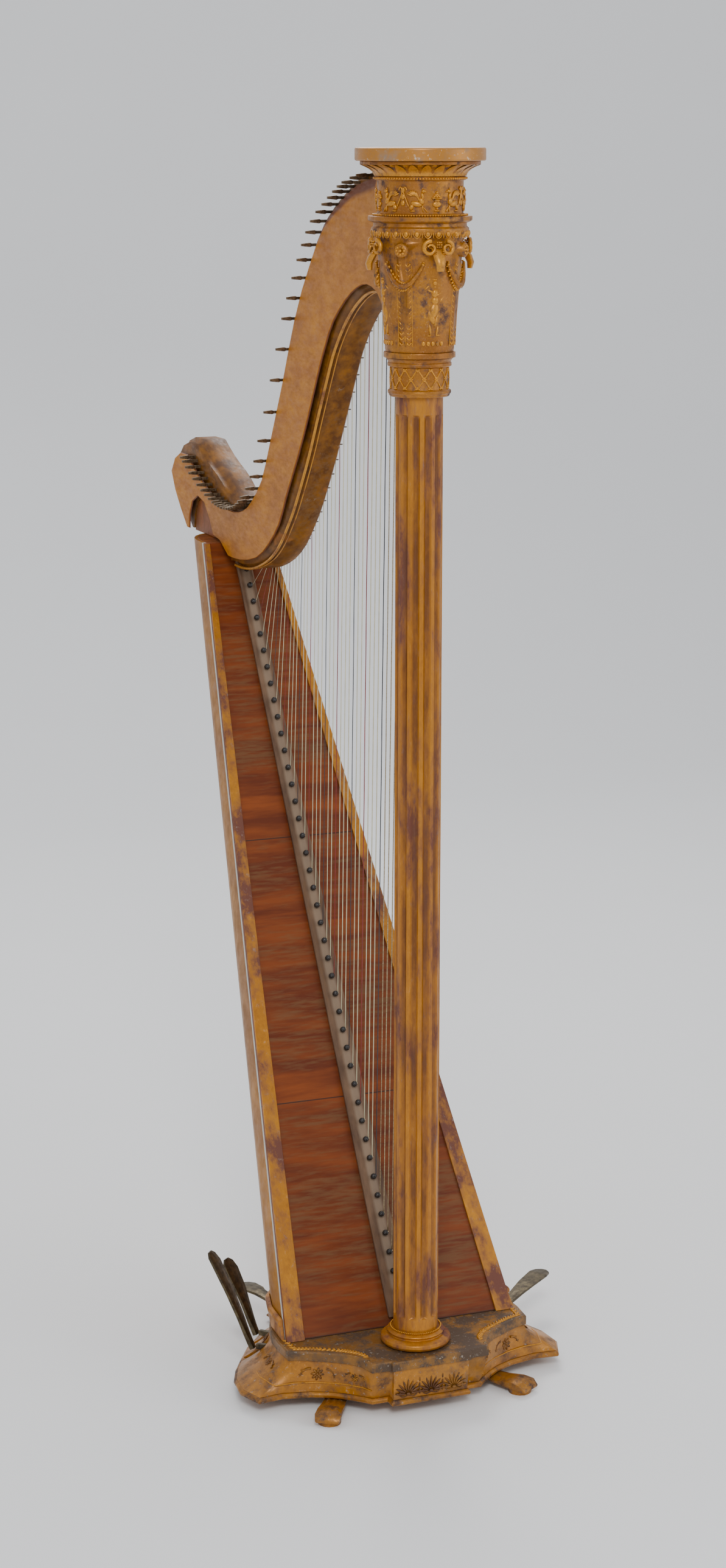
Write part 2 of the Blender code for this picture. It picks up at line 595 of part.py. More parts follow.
def s_at(z, n):
    """Distance up the board of a point n above its front plane that is at height z."""
    return (z - SB_O.z - n * SB_N.z) / SB_U.z


ARC_STEPS = 10


def wall_point(k, s, inner, lip=0.0):
    """Point k of the round-backed section at distance s: (half x, depth); lip shortens its two ends."""
    a, d0, depth = half_width(s) - inner, side_depth(s), box_depth(s) - inner
    if k == 0:
        return a, BOARD_T + STRIP_T + 2 * GAP + 0.0002 + lip
    if k == ARC_STEPS + 2:
        return -a, BOARD_T + STRIP_T + 2 * GAP + 0.0002 + lip
    t = math.pi * (k - 1) / ARC_STEPS
    return a * math.cos(t), d0 + (depth - d0) * math.sin(t)


def wall_ring(s=None, z=None, inner=0.0, lip=0.0):
    out = []
    for k in range(ARC_STEPS + 3):
        here = s if s is not None else 0.5
        for _ in range(12):
            x, d = wall_point(k, here, inner, lip)
            if s is None:
                here = s_at(z, -d)
        out.append(board_point(x, here, -d))
    return out


def u_section(s=None, z=None, thick=WALL, outer=0.0, lip=0.0):
    return wall_ring(s, z, outer, lip) + wall_ring(s, z, outer + thick, lip)[::-1]


bm = bmesh.new()
STATIONS = (0.20, 0.40, 0.60, 0.80, 0.995, 1.18)
add_loft(bm, [u_section(z=BOX_Z0)] + [u_section(s=v) for v in STATIONS] + [u_section(z=BOX_Z1)])
shell = finish("soundbox_shell", bm, "maple")
HOLES = ((0.30, 0.034, 0.046), (0.50, 0.031, 0.044), (0.70, 0.027, 0.042), (0.90, 0.022, 0.038),
         (1.08, 0.017, 0.032))
for s, rx, rs in HOLES:
    bm = bmesh.new()
    turns = [k * math.pi / 8 + 0.11 for k in range(16)]
    oval = [(rx * math.cos(a), s + rs * math.sin(a)) for a in turns]
    add_loft(bm, [[board_point(x, v, n) for x, v in oval] for n in (-0.075, -0.260)])
    cut(shell, bm)

# bent ribs glued inside the shell
unite_all(shell, [[u_section(s=s + ds, thick=0.0120, outer=WALL - 0.0010, lip=0.0030)
                   for ds in (-0.004, 0.004)] for s in (0.395, 0.605, 0.795, 0.985)])


def inside_ring(z, grow):
    return wall_ring(z=z, inner=WALL + grow)


bm = bmesh.new()
add_loft(bm, [inside_ring(1.0840, 0.0004), inside_ring(BOX_Z1, 0.0004)])
finish("soundbox_top_block", bm, "pine", smooth=False)
bm = bmesh.new()
add_loft(bm, [inside_ring(BOX_Z0, 0.0004), inside_ring(BOX_Z0 + 0.0160, 0.0010)])
finish("soundbox_foot_block", bm, "pine", smooth=False)


def board_slab(x_of, n0, n1, s_list=(0.4, 0.8)):
    """Slab lying on the front plane, between heights BOX_Z0 and BOX_Z1, with a width that follows s."""
    rings = []
    for mark in ("low", *s_list, "high"):
        ring = []
        for side, n in ((-1, n0), (1, n0), (1, n1), (-1, n1)):
            s = s_at(BOX_Z0, n) if mark == "low" else s_at(BOX_Z1, n) if mark == "high" else mark
            ring.append(board_point(x_of(s, side), s, n))
        rings.append(ring)
    return rings


bm = bmesh.new()
add_loft(bm, board_slab(lambda s, side: side * half_width(s), -(BOARD_T + STRIP_T + GAP), -(STRIP_T + GAP)))
finish("soundboard", bm, "board", 0.35, smooth=False)
for name, way in (("left", -1), ("right", 1)):
    def strip_x(s, side, way=way):
        outer, inner = half_width(s), half_width(s) - (0.0265 - 0.0145 * s)
        return way * (outer if side == way else inner)
    bm = bmesh.new()
    add_loft(bm, board_slab(strip_x, -STRIP_T, 0.0))
    finish(f"edge_strip_{name}", bm, "gilt", 0.3, smooth=False)

rib_rings = []
for mark in ("low", 0.4, 0.8, "high"):
    ring = []
    for x, n in ((-1.0, -STRIP_T), (1.0, -STRIP_T), (1.0, 0.0015), (0.80, RIB_N), (-0.80, RIB_N),
                 (-1.0, 0.0015)):
        top_z = BOX_Z1 - 0.0220
        s = s_at(RIB_Z0, n) if mark == "low" else s_at(top_z, n) if mark == "high" else mark
        ring.append(board_point(x * (0.0175 - 0.0045 * s), s, n))
    rib_rings.append(ring)
bm = bmesh.new()
add_loft(bm, rib_rings)
string_rib = finish("string_rib", bm, "brown", smooth=False)

PEGS = [PEG_S0 + PEG_STEP * k for k in range(STRINGS)]
PEG_SINK = 0.0024
on_rib = [rod_rings(board_point(0, s, RIB_N - PEG_SINK), board_point(0, s, RIB_N + 0.0105),
                    (0.0022, 0.0022, 0.0043, 0.0022), 4, (0.0, 0.23, 0.64, 1.0)) for s in PEGS]
unite_all(string_rib, on_rib)

# hooks near the lower edge of the neck, bridge pins above them
low_line = smooth_path(CORE_LOW[1:], 6)
low_line += [Vector((0.7120, 1.0760)), Vector((0.7300, 1.1035)), Vector((0.80, 1.16))]


def low_edge(y):
    for a, b in zip(low_line, low_line[1:]):
        if a.x <= y <= b.x:
            return a.y + (b.y - a.y) * (y - a.x) / (b.x - a.x)
    return low_line[-1].y


strings = []
for k, s in enumerate(PEGS):
    foot = board_point(PEG_SIDE_X, s + 0.0021, RIB_N - PEG_SINK)
    y = foot.y + 0.018 + 0.034 * min(1.0, k / 26) - 0.036 * max(0.0, (k - 26) / 16)
    hook = Vector((0, y, low_edge(min(y, 0.700)) + HOOK_UP + HOOK_RISE * max(0.0, y - 0.600)))
    bridge = hook + Vector((0, 0.0, 0.056 * (hook.z - foot.z) + 0.004))
    strings.append((foot, hook, bridge, PINS[k]))

for _, hook, bridge, _ in strings:
    for place, radii in ((hook, (0.0016, 0.0010)), (bridge, (0.0013, 0.0013))):
        tip = (STRING_X - 0.0011, place.y, place.z)
        fittings.append(rod_rings((CORE_X1 - SEAT, place.y, place.z), tip, radii, 3))
unite_all(neck_core, fittings)

on_rib = []

# strings from the rib over the bridge pins to the tuning pins, fused with the rib that they are pegged into
for k, (foot, hook, bridge, pin) in enumerate(strings):
    r = 0.00075 - 0.00045 * k / (STRINGS - 1)
    top = Vector((STRING_TOP_X, pin.x, pin.y))
    over = Vector((STRING_X, bridge.y, bridge.z))
    under = Vector((STRING_X, hook.y, low_edge(hook.y) - 0.0035))
    pull = (top - over).normalized()
    end = top + Vector((0, pull.z, -pull.y)) * (PIN_STUB_R + r + GAP)
    on_rib.append(tube_rings((foot, under, over, end), r, 3))
unite_all(string_rib, on_rib)


# reeded band and collar round the foot of the shell
def band_ring(z, out):
    line = wall_ring(z=z, inner=0.0)
    grown = []
    for i, p in enumerate(line):
        a, b = line[max(i - 1, 0)], line[min(i + 1, len(line) - 1)]
        t = (b - a).normalized()
        side = Vector((t.y, -t.x, 0)).normalized()
        grown.append(Vector((p.x, p.y, z)) + side * out)
    return grown


def band_section(z, out):
    return band_ring(z, out) + band_ring(z, 0.0006)[::-1]


bm = bmesh.new()
BAND = ((0.0834, 0.0052), (0.0990, 0.0044), (0.1000, 0.0068), (0.1030, 0.0080), (0.1060, 0.0068),
        (0.1075, 0.0030))
add_loft(bm, [band_section(z, out) for z, out in BAND])
finish("shell_foot_band", bm, "gilt")

# pedals
for index, (tag, az, hinge_r, blade, fold) in enumerate(PEDALS):
    a = math.radians(az)
    out = Vector((math.sin(a), math.cos(a), 0))
    side = Vector((math.cos(a), -math.sin(a), 0))
    phi = math.radians(-90 + 30 * index)
    rod = Vector((ROD_R * math.sin(phi), ROD_R * math.cos(phi), 0))
    fulcrum = out * FULCRUM_R + Vector((0, 0, ARM_Z))
    hinge = out * hinge_r + Vector((0, 0, ARM_Z))
    # arm: thin eye under its rod, deep bar through the slot, forked end
    bm = bmesh.new()
    rings = []
    bar = (("rod", 0.0030, 0.0040), (0.030, 0.0034, 0.0060), (0.060, ARM_W, ARM_H),
           (FULCRUM_R, 0.0052, ARM_H + 0.001), (0.150, ARM_W, ARM_H),
           (hinge_r - 0.022, ARM_W + 0.001, ARM_H), (hinge_r - 0.0070, 0.0060, 0.0070))
    for mark, width, height in bar:
        c = rod + Vector((0, 0, ARM_Z)) if mark == "rod" else out * mark + Vector((0, 0, ARM_Z))
        if mark == 0.030:
            c = c.lerp(rod * 1.0 + out * 0.0185 + Vector((0, 0, ARM_Z)), 0.5)
        rings.append([c + side * (u * width / 2) + Vector((0, 0, v * height / 2))
                      for u, v in ((-1, -1), (1, -1), (1, 1), (-1, 1))])
    add_loft(bm, rings)
    arm = finish(f"pedal_arm_{tag}", bm, "iron", 0.5, 0.7, origin=fulcrum, smooth=False)
    bm = bmesh.new()
    add_loft(bm, rod_rings(fulcrum - side * 0.010, fulcrum + side * 0.010, (PIN_HOLE_R, PIN_HOLE_R), 12))
    cut(arm, bm)
    # blade: spoon-shaped foot plate on a knuckle, drawn flat then turned up to its rest fold
    bm = bmesh.new()
    lift = Matrix.Rotation(math.radians(fold), 4, side)
    rings = []
    spoon = ((-0.0045, 0.0050, 0.0, 0.0060), (0.0060, 0.0052, 0.0, 0.0060), (0.0200, 0.0070, 0.0005, 0.0048),
             (0.0450, 0.0095, 0.0022, 0.0040), (0.58 * blade, 0.0125, 0.0030, 0.0034),
             (blade - 0.018, 0.0145, 0.0018, 0.0030), (blade - 0.006, 0.0118, -0.0002, 0.0028),
             (blade, 0.0050, -0.0010, 0.0024))
    for u, half, drop, thick in spoon:
        ring = []
        for v, w in ((-1, -1), (1, -1), (1, 1), (0.35, 1.35), (-0.35, 1.35), (-1, 1)):
            point = out * u + side * (v * half) + Vector((0, 0, w * thick / 2 + drop))
            ring.append(hinge + lift @ point)
        rings.append(ring)
    add_loft(bm, rings)
    finish(f"pedal_foot_{tag}", bm, "iron", 0.5, 0.7, origin=hinge, smooth=False)
    # rod up the column
    bm = bmesh.new()
    foot_z = ARM_Z + 0.0020 + 0.0005
    head_z = 1.5700 - 0.008 * index
    add_loft(bm, rod_rings((rod.x, rod.y, foot_z), (rod.x, rod.y, head_z), (0.0011, 0.0011), 6))
    finish(f"pedal_rod_{tag}", bm, "iron", 0.4, 0.8, origin=(rod.x, rod.y, foot_z))
    # fulcrum bracket: a foot plate, two cheeks and the pin through the arm
    bracket_z = BOARD_Z1 + GAP
    bm = bmesh.new()
    plate = out * FULCRUM_R + Vector((0, 0, bracket_z + 0.0010))
    add_loft(bm, box_rings(plate, (0.0104, 0.0200, 0.0020), -a))
    bracket = finish(f"pedal_bracket_{tag}", bm, "iron", 0.5, 0.7, smooth=False)
    for way in (-1, 1):
        rings = []
        for z, half in ((bracket_z + 0.0005, 0.0080), (ARM_Z - 0.004, 0.0045), (ARM_Z + 0.0052, 0.0030)):
            c = out * FULCRUM_R + side * (way * 0.0042) + Vector((0, 0, z))
            rings.append([c + side * (u * 0.0010) + out * (v * half)
                          for u, v in ((-1, -1), (1, -1), (1, 1), (-1, 1))])
        unite(bracket, rings)
    unite(bracket, rod_rings(fulcrum - side * 0.0045, fulcrum + side * 0.0045, (PIN_R, PIN_R), 12))

bpy.context.view_layer.update()

# triangles everywhere, then the whole part moves so that its floor point is the middle of its box
corners = []
for obj in bpy.data.objects:
    bm = bmesh.new()
    bm.from_mesh(obj.data)
    bmesh.ops.triangulate(bm, faces=bm.faces)
    bm.to_mesh(obj.data)
    bm.free()
    corners += [obj.matrix_world @ v.co for v in obj.data.vertices]
SHIFT = Vector([-(min(c[i] for c in corners) + max(c[i] for c in corners)) / 2 for i in (0, 1)] + [0.0])
for obj in bpy.data.objects:
    if obj.location.length > 0:
        obj.location += SHIFT
    else:
        obj.data.transform(Matrix.Translation(SHIFT))
bpy.context.view_layer.update()
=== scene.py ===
"""Single-action pedal harp: finishes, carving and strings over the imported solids."""
import json
import math

import bmesh
import bpy
from bpy.props import FloatProperty, FloatVectorProperty, IntProperty, PointerProperty
from mathutils import Matrix, Vector


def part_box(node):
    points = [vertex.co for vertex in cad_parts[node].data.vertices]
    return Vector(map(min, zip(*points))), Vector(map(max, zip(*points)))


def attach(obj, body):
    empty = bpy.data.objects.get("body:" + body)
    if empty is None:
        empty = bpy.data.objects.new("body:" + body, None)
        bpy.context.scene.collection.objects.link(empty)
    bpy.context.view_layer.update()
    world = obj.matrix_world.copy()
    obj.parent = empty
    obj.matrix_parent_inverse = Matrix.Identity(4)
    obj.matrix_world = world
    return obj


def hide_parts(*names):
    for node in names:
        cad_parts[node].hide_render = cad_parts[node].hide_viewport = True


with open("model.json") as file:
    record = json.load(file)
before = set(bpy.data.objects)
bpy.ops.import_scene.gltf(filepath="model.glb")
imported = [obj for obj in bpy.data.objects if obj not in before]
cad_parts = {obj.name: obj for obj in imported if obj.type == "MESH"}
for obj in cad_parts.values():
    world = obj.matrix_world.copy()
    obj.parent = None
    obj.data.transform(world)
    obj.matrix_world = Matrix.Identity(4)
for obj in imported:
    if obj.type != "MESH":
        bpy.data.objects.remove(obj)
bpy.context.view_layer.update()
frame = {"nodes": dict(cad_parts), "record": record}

bl_info = {
    "name": "Pedal harp",
    "version": (1, 0, 0),
    "blender": (4, 5, 0),
    "location": "View3D > Sidebar > Harp",
    "description": "Finishes, carving and strings of a single-action pedal harp",
    "category": "Object",
}

BODY = "harp"
# the column axis stands at the middle of the crown disc; every place below is measured from it
disc_low, disc_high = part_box("crown_disc")
AXIS = Vector(((disc_low[0] + disc_high[0]) / 2, (disc_low[1] + disc_high[1]) / 2, 0.0))
GAP = 0.0003


# helpers
def at(x, y, z):
    """A point measured from the foot of the column axis, in the row frame."""
    return AXIS + Vector((x, y, z))


def around(radius, angle, z):
    """A point on a circle round the column; angle 0 faces the front, 90 degrees the string side."""
    return AXIS + Vector((radius * math.sin(angle), -radius * math.cos(angle), z))


def loft(bm, rings):
    """Skin a stack of equal closed rings."""
    rows = [[bm.verts.new(p) for p in ring] for ring in rings]
    count = len(rows[0])
    faces = []
    for low, high in zip(rows, rows[1:]):
        for i in range(count):
            j = (i + 1) % count
            faces.append(bm.faces.new((low[i], low[j], high[j], high[i])))
    faces.append(bm.faces.new(rows[0][::-1]))
    faces.append(bm.faces.new(rows[-1]))
    bmesh.ops.recalc_face_normals(bm, faces=faces)


def piece(name, bm, material, nodes=(), body=BODY, angle=38.0):
    """Finish a bmesh as a piece of the object that rides on a body and may stand for CAD nodes."""
    bmesh.ops.remove_doubles(bm, verts=bm.verts, dist=0.00001)
    bmesh.ops.recalc_face_normals(bm, faces=bm.faces)
    mesh = bpy.data.meshes.new(name)
    bm.to_mesh(mesh)
    bm.free()
    mesh.shade_smooth()
    mesh.set_sharp_from_angle(angle=math.radians(angle))
    obj = bpy.data.objects.new(name, mesh)
    bpy.context.collection.objects.link(obj)
    mesh.materials.append(material)
    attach(obj, body)
    if nodes:
        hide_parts(*nodes)
    return obj


def merged_copy(node):
    """A welded bmesh copy of a CAD node."""
    bm = bmesh.new()
    bm.from_mesh(frame["nodes"][node].data)
    bmesh.ops.transform(bm, matrix=frame["nodes"][node].matrix_world, verts=bm.verts)
    bmesh.ops.remove_doubles(bm, verts=bm.verts, dist=0.00001)
    bmesh.ops.dissolve_limit(bm, angle_limit=math.radians(1.0), verts=bm.verts, edges=bm.edges)
    return bm


def dressed(node, material, bevel, angle):
    """A smooth copy of a CAD node with softened edges, which stands for it."""
    obj = piece(f"{node}_dressed", merged_copy(node), material, (node,), BODY, angle)
    if bevel:
        soft = obj.modifiers.new("soften", "BEVEL")
        soft.width = bevel
        soft.segments = 2
        soft.limit_method = "ANGLE"
        soft.angle_limit = math.radians(angle)
    return obj


def lump(bm, place, out, up, size, tilt=0.0, rings=6, segments=8):
    """A smooth flattened bump: size is (across, along up, outwards), tilt turns it in its own plane."""
    out = out.normalized()
    up = (up - out * up.dot(out)).normalized()
    side = up.cross(out)
    turn = Matrix.Rotation(tilt, 3, out)
    side, up = turn @ side, turn @ up
    basis = Matrix((side * size[0], up * size[1], out * size[2])).transposed().to_4x4()
    bmesh.ops.create_uvsphere(bm, u_segments=segments, v_segments=rings, radius=1.0,
                              matrix=Matrix.Translation(place) @ basis)


def bump_on_drum(bm, radius, degrees, z, size, tilt=0.0, rings=6, segments=8):
    """A flattened bump on a drum round the column."""
    a = math.radians(degrees)
    out = Vector((math.sin(a), -math.cos(a), 0.0))
    lump(bm, around(radius, a, z), out, Vector((0, 0, 1)), size, math.radians(tilt), rings, segments)


def bead_row(bm, radius, z, count, size):
    for i in range(count):
        bump_on_drum(bm, radius, 360.0 * i / count, z, (size, size, size), rings=5, segments=7)


def tube(bm, points, radii, sides=8):
    """A tube along points; radii is one number or one for each point."""
    if not isinstance(radii, (list, tuple)):
        radii = [radii] * len(points)
    rings, first = [], None
    for i, p in enumerate(points):
        along = (points[min(i + 1, len(points) - 1)] - points[max(i - 1, 0)]).normalized()
        if first is None:
            first = along.orthogonal().normalized()
        first = (first - along * first.dot(along)).normalized()
        second = along.cross(first)
        rings.append([p + radii[i] * (first * math.cos(2 * math.pi * q / sides)
                                      + second * math.sin(2 * math.pi * q / sides)) for q in range(sides)])
    loft(bm, rings)


def smooth_path(points, step=4):
    """Catmull-Rom curve through points, step samples per span."""
    out = []
    for i in range(len(points) - 1):
        p0, p1 = Vector(points[max(i - 1, 0)]), Vector(points[i])
        p2, p3 = Vector(points[i + 1]), Vector(points[min(i + 2, len(points) - 1)])
        for k in range(step):
            t = k / step
            out.append(0.5 * ((2 * p1) + (p2 - p0) * t + (2 * p0 - 5 * p1 + 4 * p2 - p3) * t * t
                              + (3 * p1 - p0 - 3 * p2 + p3) * t ** 3))
    out.append(Vector(points[-1]))
    return out


# node groups for the finishes
def new_group(name, inputs, outputs):
    group = bpy.data.node_groups.new(name, "ShaderNodeTree")
    for label, kind, value in inputs:
        socket = group.interface.new_socket(label, in_out="INPUT", socket_type=kind)
        if value is not None:
            socket.default_value = value
    for label, kind in outputs:
        group.interface.new_socket(label, in_out="OUTPUT", socket_type=kind)
    return group, group.nodes.new("NodeGroupInput"), group.nodes.new("NodeGroupOutput")


def ramp(tree, source, low, high, low_value=0.0, high_value=1.0):
    """Map Range with limits; returns its output socket."""
    node = tree.nodes.new("ShaderNodeMapRange")
    node.inputs["From Min"].default_value = low
    node.inputs["From Max"].default_value = high
    node.inputs["To Min"].default_value = low_value
    node.inputs["To Max"].default_value = high_value
    tree.links.new(source, node.inputs["Value"])
    return node.outputs["Result"]


def mix_colour(tree, factor, first, second, mode="MIX"):
    node = tree.nodes.new("ShaderNodeMix")
    node.data_type = "RGBA"
    node.blend_type = mode
    sockets = {s.identifier: s for s in node.inputs}
    for key, value in (("Factor_Float", factor), ("A_Color", first), ("B_Color", second)):
        if isinstance(value, bpy.types.NodeSocket):
            tree.links.new(value, sockets[key])
        else:
            sockets[key].default_value = value
    return next(s for s in node.outputs if s.identifier == "Result_Color")


def maths(tree, operation, *values):
    node = tree.nodes.new("ShaderNodeMath")
    node.operation = operation
    for i, value in enumerate(values):
        if isinstance(value, bpy.types.NodeSocket):
            tree.links.new(value, node.inputs[i])
        else:
            node.inputs[i].default_value = value
    return node.outputs[0]


def noise(tree, vector, scale, detail=4.0, roughness=0.6, stretch=None):
    node = tree.nodes.new("ShaderNodeTexNoise")
    node.inputs["Scale"].default_value = scale
    node.inputs["Detail"].default_value = detail
    node.inputs["Roughness"].default_value = roughness
    if stretch:
        mapping = tree.nodes.new("ShaderNodeMapping")
        mapping.inputs["Scale"].default_value = stretch
        tree.links.new(vector, mapping.inputs["Vector"])
        vector = mapping.outputs["Vector"]
    tree.links.new(vector, node.inputs["Vector"])
    return node.outputs["Fac"]


def wear_group():
    """Gilding worn through to red ground and bare wood, in patches and fine scratches."""
    group, inside, outside = new_group(
        "worn_leaf",
        (("Vector", "NodeSocketVector", None), ("Leaf", "NodeSocketColor", (0.60, 0.34, 0.08, 1)),
         ("Ground", "NodeSocketColor", (0.16, 0.045, 0.02, 1)), ("Pale", "NodeSocketColor", (0.62, 0.55, 0.44, 1)),
         ("Wear", "NodeSocketFloat", 0.5), ("Scale", "NodeSocketFloat", 40.0), ("Dust", "NodeSocketFloat", 0.1)),
        (("Colour", "NodeSocketColor"), ("Leaf mask", "NodeSocketFloat"), ("Rough", "NodeSocketFloat"),
         ("Height", "NodeSocketFloat")))
    big = noise(group, inside.outputs["Vector"], 1.0, 6.0, 0.65)
    scaled = group.nodes.new("ShaderNodeVectorMath")
    scaled.operation = "SCALE"
    group.links.new(inside.outputs["Vector"], scaled.inputs[0])
    group.links.new(inside.outputs["Scale"], scaled.inputs["Scale"])
    big_node = big.node
    group.links.new(scaled.outputs[0], big_node.inputs["Vector"])
    fine = noise(group, scaled.outputs[0], 6.0, 5.0, 0.7)
    cloud = noise(group, scaled.outputs[0], 0.25, 3.0, 0.5)
    mixed = maths(group, "ADD", maths(group, "MULTIPLY", big, 0.55),
                  maths(group, "ADD", maths(group, "MULTIPLY", fine, 0.25), maths(group, "MULTIPLY", cloud, 0.20)))
    edge = maths(group, "ADD", mixed, maths(group, "MULTIPLY", inside.outputs["Wear"], 0.22))
    worn = ramp(group, edge, 0.56, 0.68)
    tone = mix_colour(group, ramp(group, cloud, 0.35, 0.65), inside.outputs["Leaf"], (0.64, 0.27, 0.014, 1))
    tone = mix_colour(group, 0.55, inside.outputs["Leaf"], tone)
    shade = mix_colour(group, ramp(group, fine, 0.35, 0.62, 0.35, 0.0), tone, inside.outputs["Ground"])
    colour = mix_colour(group, worn, shade, inside.outputs["Ground"])
    pale = maths(group, "MULTIPLY", ramp(group, fine, 0.60, 0.70), inside.outputs["Dust"])
    colour = mix_colour(group, pale, colour, inside.outputs["Pale"])
    group.links.new(colour, outside.inputs["Colour"])
    group.links.new(maths(group, "SUBTRACT", 1.0, worn), outside.inputs["Leaf mask"])
    group.links.new(maths(group, "ADD", 0.34, maths(group, "MULTIPLY", worn, 0.28)), outside.inputs["Rough"])
    group.links.new(maths(group, "ADD", maths(group, "MULTIPLY", fine, 0.4), maths(group, "MULTIPLY", worn, -0.5)),
                    outside.inputs["Height"])
    return group


def grain_group():
    """Wood grain that runs along one direction, with slow mottling."""
    group, inside, outside = new_group(
        "wood_grain",
        (("Vector", "NodeSocketVector", None), ("Light", "NodeSocketColor", (0.78, 0.42, 0.10, 1)),
         ("Dark", "NodeSocketColor", (0.50, 0.22, 0.05, 1)), ("Dirt", "NodeSocketColor", (0.16, 0.08, 0.03, 1)),
         ("Age", "NodeSocketFloat", 0.3)),
        (("Colour", "NodeSocketColor"), ("Rough", "NodeSocketFloat"), ("Height", "NodeSocketFloat")))
    lines = noise(group, inside.outputs["Vector"], 55.0, 4.0, 0.6)
    fine = noise(group, inside.outputs["Vector"], 210.0, 3.0, 0.6)
    cloud = noise(group, inside.outputs["Vector"], 7.0, 4.0, 0.6)
    tone = mix_colour(group, ramp(group, lines, 0.36, 0.64), inside.outputs["Light"], inside.outputs["Dark"])
    tone = mix_colour(group, ramp(group, cloud, 0.38, 0.66, 0.0, 0.55), tone, inside.outputs["Dark"])
    aged = maths(group, "MULTIPLY", ramp(group, maths(group, "MULTIPLY", cloud, fine), 0.24, 0.36),
                 inside.outputs["Age"])
    tone = mix_colour(group, aged, tone, inside.outputs["Dirt"])
    group.links.new(tone, outside.inputs["Colour"])
    group.links.new(ramp(group, fine, 0.3, 0.7, 0.38, 0.58), outside.inputs["Rough"])
    group.links.new(maths(group, "ADD", maths(group, "MULTIPLY", lines, 0.5), maths(group, "MULTIPLY", fine, 0.3)),
                    outside.inputs["Height"])
    return group


def start_material(name):
    mat = bpy.data.materials.new(name)
    mat.use_nodes = True
    tree = mat.node_tree
    coords = tree.nodes.new("ShaderNodeTexCoord")
    return mat, tree, tree.nodes["Principled BSDF"], coords.outputs["Object"]


def add_bump(tree, shader, height, strength, distance):
    node = tree.nodes.new("ShaderNodeBump")
    node.inputs["Strength"].default_value = strength
    node.inputs["Distance"].default_value = distance
    tree.links.new(height, node.inputs["Height"])
    tree.links.new(node.outputs["Normal"], shader.inputs["Normal"])


def stretched(tree, vector, stretch, turn=(0, 0, 0)):
    node = tree.nodes.new("ShaderNodeMapping")
    node.inputs["Scale"].default_value = stretch
    node.inputs["Rotation"].default_value = turn
    tree.links.new(vector, node.inputs["Vector"])
    return node.outputs["Vector"]


def leaf_material(name, leaf, ground, wear, scale=40.0, dust=0.1, stretch=(1, 1, 1), metal=0.40, bump=0.5):
    """Gilded finish with wear."""
    mat, tree, shader, vector = start_material(name)
    node = tree.nodes.new("ShaderNodeGroup")
    node.node_tree = GROUPS["leaf"]
    tree.links.new(stretched(tree, vector, stretch), node.inputs["Vector"])
    node.inputs["Leaf"].default_value = (*leaf, 1)
    node.inputs["Ground"].default_value = (*ground, 1)
    node.inputs["Wear"].default_value = wear
    node.inputs["Scale"].default_value = scale
    node.inputs["Dust"].default_value = dust
    tree.links.new(node.outputs["Colour"], shader.inputs["Base Color"])
    tree.links.new(node.outputs["Rough"], shader.inputs["Roughness"])
    tree.links.new(maths(tree, "MULTIPLY", node.outputs["Leaf mask"], metal), shader.inputs["Metallic"])
    add_bump(tree, shader, node.outputs["Height"], bump, 0.0006)
    return mat


def wood_material(name, light, dark, age=0.3, stretch=(1, 1, 1), turn=(0, 0, 0), coat=0.04, bump=0.15):
    """Varnished wood."""
    mat, tree, shader, vector = start_material(name)
    node = tree.nodes.new("ShaderNodeGroup")
    node.node_tree = GROUPS["grain"]
    tree.links.new(stretched(tree, vector, stretch, turn), node.inputs["Vector"])
    node.inputs["Light"].default_value = (*light, 1)
    node.inputs["Dark"].default_value = (*dark, 1)
    node.inputs["Age"].default_value = age
    tree.links.new(node.outputs["Colour"], shader.inputs["Base Color"])
    tree.links.new(node.outputs["Rough"], shader.inputs["Roughness"])
    shader.inputs["Specular IOR Level"].default_value = 0.2
    shader.inputs["Coat Weight"].default_value = coat
    shader.inputs["Coat Roughness"].default_value = 0.25
    add_bump(tree, shader, node.outputs["Height"], bump, 0.0004)
    return mat, tree, shader, vector, node


def paint_over(tree, shader, mask, colour):
    """Lay one more colour over what feeds Base Color, by a mask."""
    under = shader.inputs["Base Color"].links[0].from_socket
    tree.links.new(mix_colour(tree, mask, under, (*colour, 1)), shader.inputs["Base Color"])


def plain_material(name, colour, second, rough=0.45, metal=0.0, scale=300.0, bump=0.15, stretch=(1, 1, 1)):
    """Metal, peg or string with fine mottling."""
    mat, tree, shader, vector = start_material(name)
    spots = noise(tree, stretched(tree, vector, stretch), scale, 4.0, 0.6)
    tree.links.new(mix_colour(tree, ramp(tree, spots, 0.35, 0.65), (*colour, 1), (*second, 1)),
                   shader.inputs["Base Color"])
    tree.links.new(ramp(tree, spots, 0.3, 0.7, rough - 0.08, rough + 0.12), shader.inputs["Roughness"])
    shader.inputs["Metallic"].default_value = metal
    add_bump(tree, shader, spots, bump, 0.0003)
    return mat


def dot_with(tree, vector, direction, offset=0.0):
    """Distance of the point along a direction, less an offset."""
    node = tree.nodes.new("ShaderNodeVectorMath")
    node.operation = "DOT_PRODUCT"
    tree.links.new(vector, node.inputs[0])
    node.inputs[1].default_value = direction
    return maths(tree, "SUBTRACT", node.outputs["Value"], offset)


def between(tree, value, low, high, soft=0.0003):
    """Mask that is 1 where value lies between low and high."""
    above = ramp(tree, value, low - soft, low + soft)
    below = ramp(tree, value, high - soft, high + soft, 1.0, 0.0)
    return maths(tree, "MULTIPLY", above, below)


# finishes
GROUPS = {}
MATS = {}


